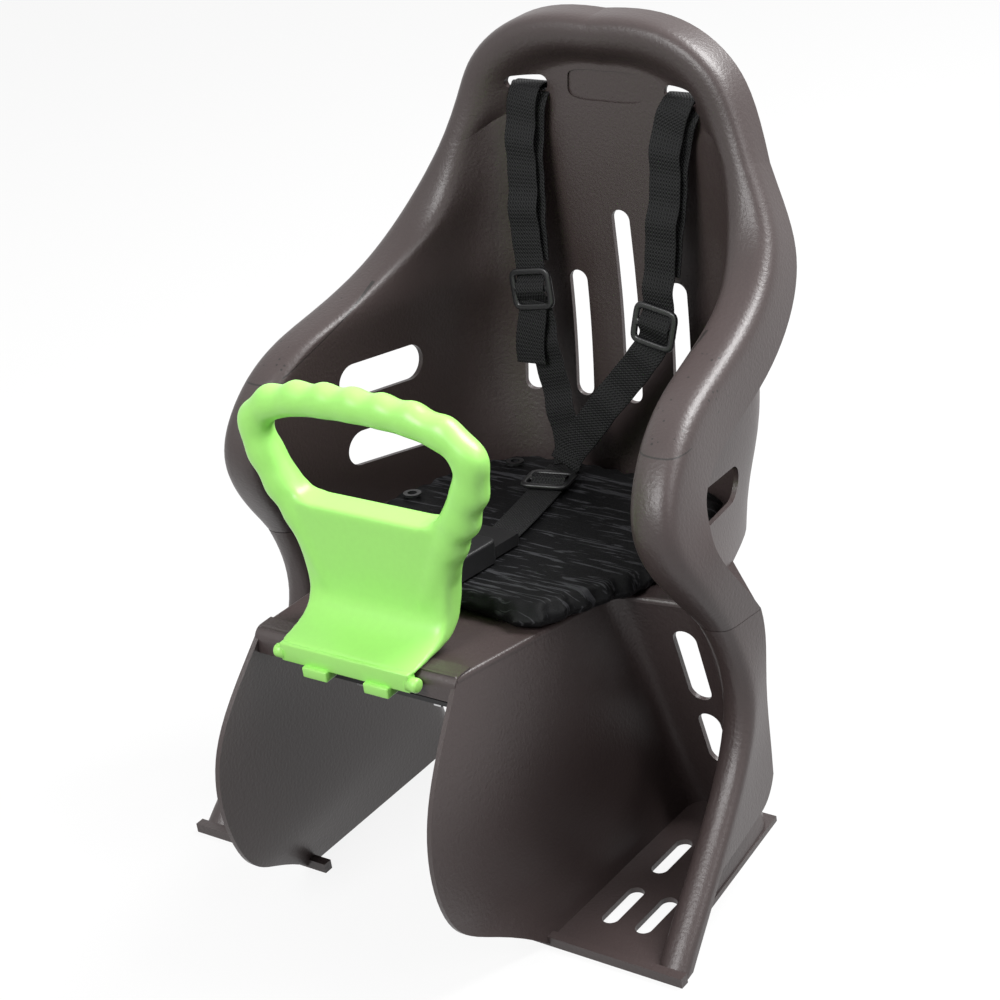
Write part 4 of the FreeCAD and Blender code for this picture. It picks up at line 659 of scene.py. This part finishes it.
# each ring's share of the way from the middle to the outline, closer together at the rim
PAD_RINGS = np.concatenate([np.linspace(1.0, 0.9, 6), np.linspace(0.86, 0.06, 18)])
ROUND_FROM, ROUND_OVER = 0.92, 0.08
# half of the outline on the pan, from the front round to the rear: distance beside the middle and distance back
PAD_HALF = np.array([(0, 68), (56, 68), (88, 71), (108, 106), (124, 148), (127, 180), (124, 230), (112, 276),
                     (84, 308), (40, 316)], float)
PAD_REAR = 317


def pad_outline(count):
    """Outline of the pad on the pan: a closed smooth curve through its corners."""
    whole = np.vstack([PAD_HALF, [[0, PAD_REAR]], PAD_HALF[:0:-1] * [-1, 1]])
    path, _ = smooth_path(np.vstack([whole, whole[:1]]), count + 1)
    return path[:-1]


def pad_slab():
    """Closed slab: rings shrink from the outline to the middle, above and below; the rim waves in and out."""
    outline = pad_outline(PAD_POINTS)
    wave = np.cos(np.linspace(0, 2 * np.pi * PUCKERS, len(outline), endpoint=False))
    rim = np.clip((PAD_RINGS - PUCKERS_FROM) / PUCKERS_OVER, 0, 1)
    full = 1 - np.clip((PAD_RINGS - ROUND_FROM) / ROUND_OVER, 0, 1) ** 2
    share = PAD_RINGS[:, None] + PUCKER_SHARE * rim[:, None] * wave
    flat = PAD_MIDDLE + (outline - PAD_MIDDLE) * share[..., None]
    height = PAD_EDGE_HEIGHT + PAD_TOP_RISE * full[:, None] + PUCKER_RISE * rim[:, None] * full[:, None] * wave
    under = np.broadcast_to(PAD_EDGE_HEIGHT - PAD_BOTTOM_DROP * full[:, None], height.shape)
    top = np.concatenate([flat, height[..., None]], axis=-1)
    bottom = np.concatenate([flat, under[..., None]], axis=-1)[1:]
    grid = np.concatenate([bottom[::-1], top])
    return place(on_pan(grid.reshape(-1, 3))), tube_faces(len(grid), len(outline))


slab = pad_slab()
print("slab points:", len(slab[0]))

# %% [markdown]
# ## Puffing the pad
# A cover that is gathered bulges and creases between its puckers. Sculpting could show that, but a short cloth
# simulation under pressure does it by itself and the same way each time. The pan carries the pad, so nothing moves
# down, and a cap on the movement keeps the top under the straps.

# %% Puffed pad
CLOTH_VOXEL = 0.004
CLOTH_STEPS = 20
CLOTH_REACH = 0.0055


def positions(mesh):
    """Places of a mesh's points, one row each."""
    flat = np.empty(3 * len(mesh.vertices), np.float32)
    mesh.vertices.foreach_get("co", flat)
    return flat.reshape(-1, 3).astype(float)


def puffed(name, points, faces):
    """Cloth under a little pressure for a few frames; movement is capped and none goes down into the pan."""
    rough = mesh_piece(name + "_rough", points, faces)
    remesh = rough.modifiers.new("cells", "REMESH")
    remesh.mode = "VOXEL"
    remesh.voxel_size = CLOTH_VOXEL
    soft = baked(rough, name + "_soft")
    rest = positions(soft.data)
    cloth = soft.modifiers.new("cloth", "CLOTH")
    cloth.settings.use_pressure = True
    cloth.settings.uniform_pressure_force = 4.0
    cloth.settings.effector_weights.gravity = 0.0
    cloth.settings.quality = 6
    cloth.settings.mass = 0.3
    cloth.settings.tension_stiffness = 12.0
    cloth.settings.compression_stiffness = 12.0
    cloth.settings.shrink_min = -0.04
    cloth.collision_settings.use_self_collision = False
    cloth.point_cache.frame_start = 1
    cloth.point_cache.frame_end = CLOTH_STEPS
    for step in range(1, CLOTH_STEPS + 1):
        bpy.context.scene.frame_set(step)
    graph = bpy.context.evaluated_depsgraph_get()
    shift = positions(soft.evaluated_get(graph).data) - rest
    shift[:, 2] = np.maximum(shift[:, 2], 0.0)
    length = np.linalg.norm(shift, axis=1, keepdims=True)
    rest = rest + shift * np.minimum(1.0, CLOTH_REACH / np.maximum(length, 1e-9))
    bpy.context.scene.frame_set(1)
    soft.modifiers.remove(cloth)
    soft.data.vertices.foreach_set("co", rest.astype(np.float32).ravel())
    finer = soft.modifiers.new("finer", "SUBSURF")
    finer.levels = finer.render_levels = 1
    return baked(soft, name)


pad = puffed("pad_cushion", *slab)
dress(pad, pad_finish)
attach(pad, "root")
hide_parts("seat_pad")
print("pad points:", len(pad.data.vertices))

# %% [markdown]
# ## The webbing
# Each shoulder strap drops from its slot to a slide, doubled: one layer in front and its return behind. Below the slide
# the one on the child's right has a free tail over the running strap, and both cross to the buckle slide. A strap is a
# flat rounded section carried along a smooth line. A curve with a bevel would twist at its bends, so the section is
# turned by a stated facing, and it waves a little, as webbing never hangs flat.

# %% Strap helper
FRONT = np.array([0.0, -1.0, 0.18])
WEBBING_WIDTH = 25.0
WEBBING_HALF_THICKNESS = 0.8
WEBBING_SECTION = (20, 6.0)
STRAP_STATIONS = 190
SLOT_TURN, SLOT_FACING = 30.0, np.array([0.0, 0.0, 2.0])
# lengths along the strap: flat before the waves come in, then the length over which they grow
END_FLAT, END_FADE = 14.0, 20.0
SLIDE_FLAT, SLIDE_FADE = 14.0, 12.0
# height of the strap over a slide's bar, half the length at that height, then the length over which it falls
SLIDE_RISE, RISE_FLAT, RISE_FADE = 6.3, 3.0, 6.0
RISE_MEAN = 5
# waves: length along the strap for one radian, and share of the wave's size
LONG_WAVE, LONG_START = 7.9, 0.6
SHORT_WAVE, SHORT_SHARE = 3.9, 0.6
SIDE_WAVE, SIDE_SHARE = 17.0, 0.6


def strap(name, stops, over=(), wave=0.0, facing=FRONT, to_row=None):
    """Ribbon through stops that turns over its slot, rises over each slide listed and waves by sums of sines."""
    path, run = smooth_path(stops, STRAP_STATIONS)
    along = unit(np.gradient(path, axis=0))
    upward = np.clip(1 - run / SLOT_TURN, 0, 1)[:, None] * SLOT_FACING
    across = unit(np.cross(along, facing + upward))
    out = np.cross(across, along)
    ends = np.clip((np.minimum(run, run[-1] - run) - END_FLAT) / END_FADE, 0, 1)
    ripple = wave * ends * (1 + np.sin(run / LONG_WAVE + LONG_START) + SHORT_SHARE * np.sin(run / SHORT_WAVE))
    rise = np.zeros(len(run))
    for point in over:
        gap = np.abs(run - run[np.argmin(np.linalg.norm(path - np.asarray(point), axis=1))])
        ripple = ripple * np.clip((gap - SLIDE_FLAT) / SLIDE_FADE, 0, 1)
        rise = rise + SLIDE_RISE * np.clip(1 - (gap - RISE_FLAT) / RISE_FADE, 0, 1)
    height = np.pad(ripple + rise, RISE_MEAN // 2, mode="edge")
    height = np.convolve(height, np.ones(RISE_MEAN) / RISE_MEAN, "valid")
    path = path + (SIDE_SHARE * wave * ends * np.sin(run / SIDE_WAVE))[:, None] * across
    section = rounded_section(*WEBBING_SECTION)[::-1] * [WEBBING_WIDTH / 2, WEBBING_HALF_THICKNESS]
    points = (path + height[:, None] * out)[:, None, :] \
        + section[:, 0, None] * across[:, None, :] + section[:, 1, None] * out[:, None, :]
    weave = np.stack(np.broadcast_arrays(section[:, 0], run[:, None]), -1) / MILLIMETRES
    flat = points.reshape(-1, 3)
    return mesh_piece(name, place(flat if to_row is None else to_row(flat)), tube_faces(len(path), len(section)),
                      weave.reshape(-1, 2))


def centre_of(node):
    """Middle of a CAD node, in millimetres from the toe edge."""
    low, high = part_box(node)
    return np.array((low + high) / 2) * MILLIMETRES + [0.0, TOE_TO_ORIGIN, 0.0]


slides = {tag: centre_of(f"strap_adjuster_{tag}") for tag in ("left", "right", "centre")}
print("slides:", {tag: spot.round(1).tolist() for tag, spot in slides.items()})

# %% [markdown]
# ## Where the straps run
# The stops were read along each strap on the seat, from its slot down. Main strap, return layer and tail are separate
# ribbons, as a single one would have to fold back on itself inside the slide.

# %% Straps
left_stops = [(63, 330, 467), (63, 321, 470), (62.5, 312, 465), (54, 309, 440), (50, 301, 392), (47.4, 292, 346),
              (41.0, 284, 302), (10, 276, 260), (-22, 265, 222), (-30, 258, 206)]
right_stops = [(-63, 330, 467), (-63, 321, 470), (-63.5, 312, 465), (-67, 309, 440), (-68, 302, 398),
               (-63, 293, 343), (-58, 288, 310), (-50, 284, 272), (-41, 279, 240), (-33, 270, 217), (-29, 260, 207)]
left_return = [(65, 330, 463), (65.5, 323, 464), (65.5, 316, 458), (58, 313, 436), (53, 305, 392), (49, 296, 348)]
right_return = [(-60, 330, 463), (-60, 323, 464), (-60, 316, 458), (-63, 313, 436), (-64, 306, 398), (-62, 297, 346)]
right_tail = [(-60, 286.6, 319), (-60.5, 285.2, 311), (-61.5, 281.5, 298), (-62.5, 279, 286), (-62, 277.5, 273)]
# the crotch strap's stops, its slide and its facing are in the pan's frame
crotch_stops = [(3, 156, 22), (-5, 190, 22), (-18, 238, 22), (-33, 286, 22)]
crotch_slide = (-23, 252, 22)
pan_up = np.array([0.0, 0.0, 1.0])
straps = {
    "shoulder_strap_left": [strap("webbing_left", left_stops, over=[slides["left"]], wave=1.2),
                            strap("webbing_left_return", left_return, wave=0.7)],
    "shoulder_strap_right": [strap("webbing_right", right_stops, over=[slides["right"]], wave=1.2),
                             strap("webbing_right_return", right_return, wave=0.7),
                             strap("webbing_right_tail", right_tail, wave=0.3)],
    "crotch_strap": [strap("webbing_crotch", crotch_stops, over=[crotch_slide], facing=pan_up, to_row=on_pan)],
}
for node, pieces in straps.items():
    for piece in pieces:
        dress(piece, webbing_finish)
        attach(piece, "root")
        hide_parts(node)
print("straps:", sum(len(pieces) for pieces in straps.values()))

# %% [markdown]
# ## The slides
# A slide is a two-slot frame of black nylon that the webbing passes under, over and under again. Its edges are fully
# round, which a cut plate can't show, so an oval section is carried round a rounded rectangle, a second one runs
# across the middle, and a fine voxel skin joins the two.

# %% Slides
SLIDE_HALF_WIDTH = 18.0
SLIDE_HALF_HEIGHT = 15.5
SLIDE_BAR = 2.5
SLIDE_HALF_THICKNESS = 1.8
SLIDE_LINE, SLIDE_SECTION = (96, 7.0), (20, 3.0)
SLIDE_VOXEL = 0.0006
SLIDE_SMOOTHING = 3


def slide(name, spot, along, facing):
    """Frame at a spot: the section follows a rounded rectangle, offset by its normal, and a bar crosses the middle."""
    across = unit(np.cross(along, facing))
    out = np.cross(across, along)
    line = rounded_section(*SLIDE_LINE) * [SLIDE_HALF_WIDTH - SLIDE_BAR, SLIDE_HALF_HEIGHT - SLIDE_BAR]
    step = np.roll(line, -1, axis=0) - np.roll(line, 1, axis=0)
    normal = unit(np.stack([step[:, 1], -step[:, 0]], 1))
    section = rounded_section(*SLIDE_SECTION) * [SLIDE_BAR, SLIDE_HALF_THICKNESS]
    flat = line[:, None, :] + section[:, :1] * normal[:, None, :]
    rim = np.concatenate([flat, np.broadcast_to(section[:, 1:], flat[..., :1].shape)], axis=-1)
    reach = np.array([-1.0, 1.0]) * (SLIDE_HALF_WIDTH - SLIDE_BAR)
    bar = np.stack(np.broadcast_arrays(reach[:, None], section[:, 0], section[:, 1]), axis=-1)
    turn = np.stack([across, along, out])
    parts = [(spot + rim.reshape(-1, 3) @ turn, tube_faces(len(line), len(section), ring=True)),
             (spot + bar.reshape(-1, 3) @ turn, tube_faces(2, len(section)))]
    return moulded(name, parts, SLIDE_VOXEL, SLIDE_SMOOTHING)


pan_along = on_pan((-0.27, 0.963, 0.0)) - on_pan((0.0, 0.0, 0.0))
pan_out = on_pan(pan_up) - on_pan((0.0, 0.0, 0.0))
# the strap's direction through each slide, and the way that the slide faces
slide_turns = {"left": (np.array([-0.18, -0.17, -0.97]), FRONT), "right": (np.array([0.15, -0.14, -0.98]), FRONT),
               "centre": (pan_along, pan_out)}
for tag, (along, facing) in slide_turns.items():
    piece = slide(f"slide_{tag}", slides[tag], unit(along), unit(facing))
    dress(piece, black_finish)
    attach(piece, "root")
    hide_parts(f"strap_adjuster_{tag}")
print("slide points:", len(piece.data.vertices))

# %% [markdown]
# ## The camera
# The camera stands where the photograph's camera stood: its place and its two directions were worked out from edges
# that can be measured on the seat. Framing by eye would do for a new picture, but a fitted camera lets the two pictures
# be compared edge by edge.

# %% Camera
CAMERA_SPOT = (958.1, -1028.0, 988.1)
CAMERA_RIGHT = (0.8068, 0.5759, -0.1316)
CAMERA_AHEAD = (-0.5675, 0.6935, -0.4438)


def studio_camera():
    """Camera from its place, viewing direction and right-hand direction in the part's frame."""
    data = bpy.data.cameras.new("camera")
    data.lens = 90.0
    data.sensor_width = 36.0
    camera = bpy.data.objects.new("camera", data)
    bpy.context.scene.collection.objects.link(camera)
    right = Vector(CAMERA_RIGHT).normalized()
    ahead = Vector(CAMERA_AHEAD).normalized()
    turn = Matrix((right, right.cross(ahead), -ahead)).transposed().to_4x4()
    camera.matrix_world = Matrix.Translation(place(CAMERA_SPOT).tolist()) @ turn
    bpy.context.scene.camera = camera
    return camera


print("camera at", [round(value, 3) for value in studio_camera().matrix_world.translation])

# %% [markdown]
# ## The world
# A product photograph stands on a white sweep. Lighting the sweep until it is white would burn out the seat, so the
# world is white only to the rays that come straight from the camera and to reflections. To all others it is a soft sky
# that grows lighter with height.

# %% World
SKY_LOW, SKY_HIGH = 0.03, 0.29


def seen_or_mirrored(tree):
    """One for a ray from the camera or from a reflection, else nothing: the larger of the two marks."""
    rays = tree.nodes.new("ShaderNodeLightPath")
    return calculate(tree, "MAXIMUM", rays.outputs["Is Camera Ray"], rays.outputs["Is Glossy Ray"])


def white_world():
    """World that lights softly from above and is plain white to the camera and in reflections."""
    world = bpy.data.worlds.new("studio")
    bpy.context.scene.world = world
    world.use_nodes = True
    tree = world.node_tree
    soft = tree.nodes["Background"]
    soft.inputs["Color"].default_value = (1.0, 1.0, 1.0, 1.0)
    direction = tree.nodes.new("ShaderNodeTexCoord")
    split = tree.nodes.new("ShaderNodeSeparateXYZ")
    height = tree.nodes.new("ShaderNodeMapRange")
    height.inputs["From Min"].default_value = -0.1
    height.inputs["From Max"].default_value = 0.9
    height.inputs["To Min"].default_value = SKY_LOW
    height.inputs["To Max"].default_value = SKY_HIGH
    tree.links.new(direction.outputs["Generated"], split.inputs["Vector"])
    tree.links.new(split.outputs["Z"], height.inputs["Value"])
    tree.links.new(height.outputs["Result"], soft.inputs["Strength"])
    plain = tree.nodes.new("ShaderNodeBackground")
    plain.inputs["Color"].default_value = (1.0, 1.0, 1.0, 1.0)
    mix = tree.nodes.new("ShaderNodeMixShader")
    tree.links.new(seen_or_mirrored(tree), mix.inputs["Fac"])
    tree.links.new(soft.outputs["Background"], mix.inputs[1])
    tree.links.new(plain.outputs["Background"], mix.inputs[2])
    tree.links.new(mix.outputs["Shader"], tree.nodes["World Output"].inputs["Surface"])


white_world()
print("world:", bpy.context.scene.world.name)

# %% [markdown]
# ## The floor
# The floor is white in the same way, but it keeps a share of its true shading, which leaves the seat's soft shadow. A
# plain white paper would need so much light that the seat's own colours would pale.

# %% Floor
FLOOR_REACH = 12.0
FLOOR_DROP = 0.0005
FLOOR_GREY = 0.15
PAPER_GREY = 0.9
SHADING_SHARE = 0.12


def white_floor():
    """Floor that bounces a little light; to the camera it is mostly white, with a share of its shading left."""
    corners = np.array([(-1, -1, 0), (1, -1, 0), (1, 1, 0), (-1, 1, 0)], float) * FLOOR_REACH
    floor = mesh_piece("floor", corners - [0.0, 0.0, FLOOR_DROP], [(0, 1, 2, 3)])
    finish = bpy.data.materials.new("floor_white")
    finish.use_nodes = True
    tree = finish.node_tree
    bounce = tree.nodes["Principled BSDF"]
    bounce.inputs["Base Color"].default_value = (FLOOR_GREY, FLOOR_GREY, FLOOR_GREY, 1.0)
    bounce.inputs["Roughness"].default_value = 0.9
    glow = tree.nodes.new("ShaderNodeEmission")
    paper = tree.nodes.new("ShaderNodeBsdfDiffuse")
    paper.inputs["Color"].default_value = (PAPER_GREY, PAPER_GREY, PAPER_GREY, 1.0)
    seen = tree.nodes.new("ShaderNodeMixShader")
    seen.inputs["Fac"].default_value = SHADING_SHARE
    tree.links.new(glow.outputs["Emission"], seen.inputs[1])
    tree.links.new(paper.outputs["BSDF"], seen.inputs[2])
    mix = tree.nodes.new("ShaderNodeMixShader")
    tree.links.new(seen_or_mirrored(tree), mix.inputs["Fac"])
    tree.links.new(bounce.outputs["BSDF"], mix.inputs[1])
    tree.links.new(seen.outputs["Shader"], mix.inputs[2])
    tree.links.new(mix.outputs["Shader"], tree.nodes["Material Output"].inputs["Surface"])
    dress(floor, finish)


white_floor()
print("floor half width in metres:", FLOOR_REACH)

# %% [markdown]
# ## Lights
# Three large square lamps give the soft light of a studio: a key from the front, a weak fill from the right, and a top
# light from behind that draws the bright line along the rims. A picture of a sky could light it too, but lamps can be
# shifted one at a time.

# %% Lights
def soft_light(name, spot, aim, width, power):
    """Square area light at a spot, turned to an aim, in metres and watts."""
    data = bpy.data.lights.new(name, "AREA")
    data.size = width
    data.energy = power
    light = bpy.data.objects.new(name, data)
    bpy.context.scene.collection.objects.link(light)
    light.location = spot
    light.rotation_euler = (Vector(aim) - Vector(spot)).to_track_quat("-Z", "Y").to_euler()


soft_light("key", spot=(-0.2, -1.6, 1.6), aim=(0.0, 0.0, 0.3), width=0.9, power=32.0)
soft_light("fill", spot=(1.8, -0.1, 1.5), aim=(0.0, 0.0, 0.3), width=1.0, power=10.0)
soft_light("top", spot=(0.8, 1.0, 1.9), aim=(0.0, 0.05, 0.3), width=1.0, power=66.0)
bpy.context.scene.view_settings.view_transform = "Standard"
print("lamps:", len(bpy.data.lights))
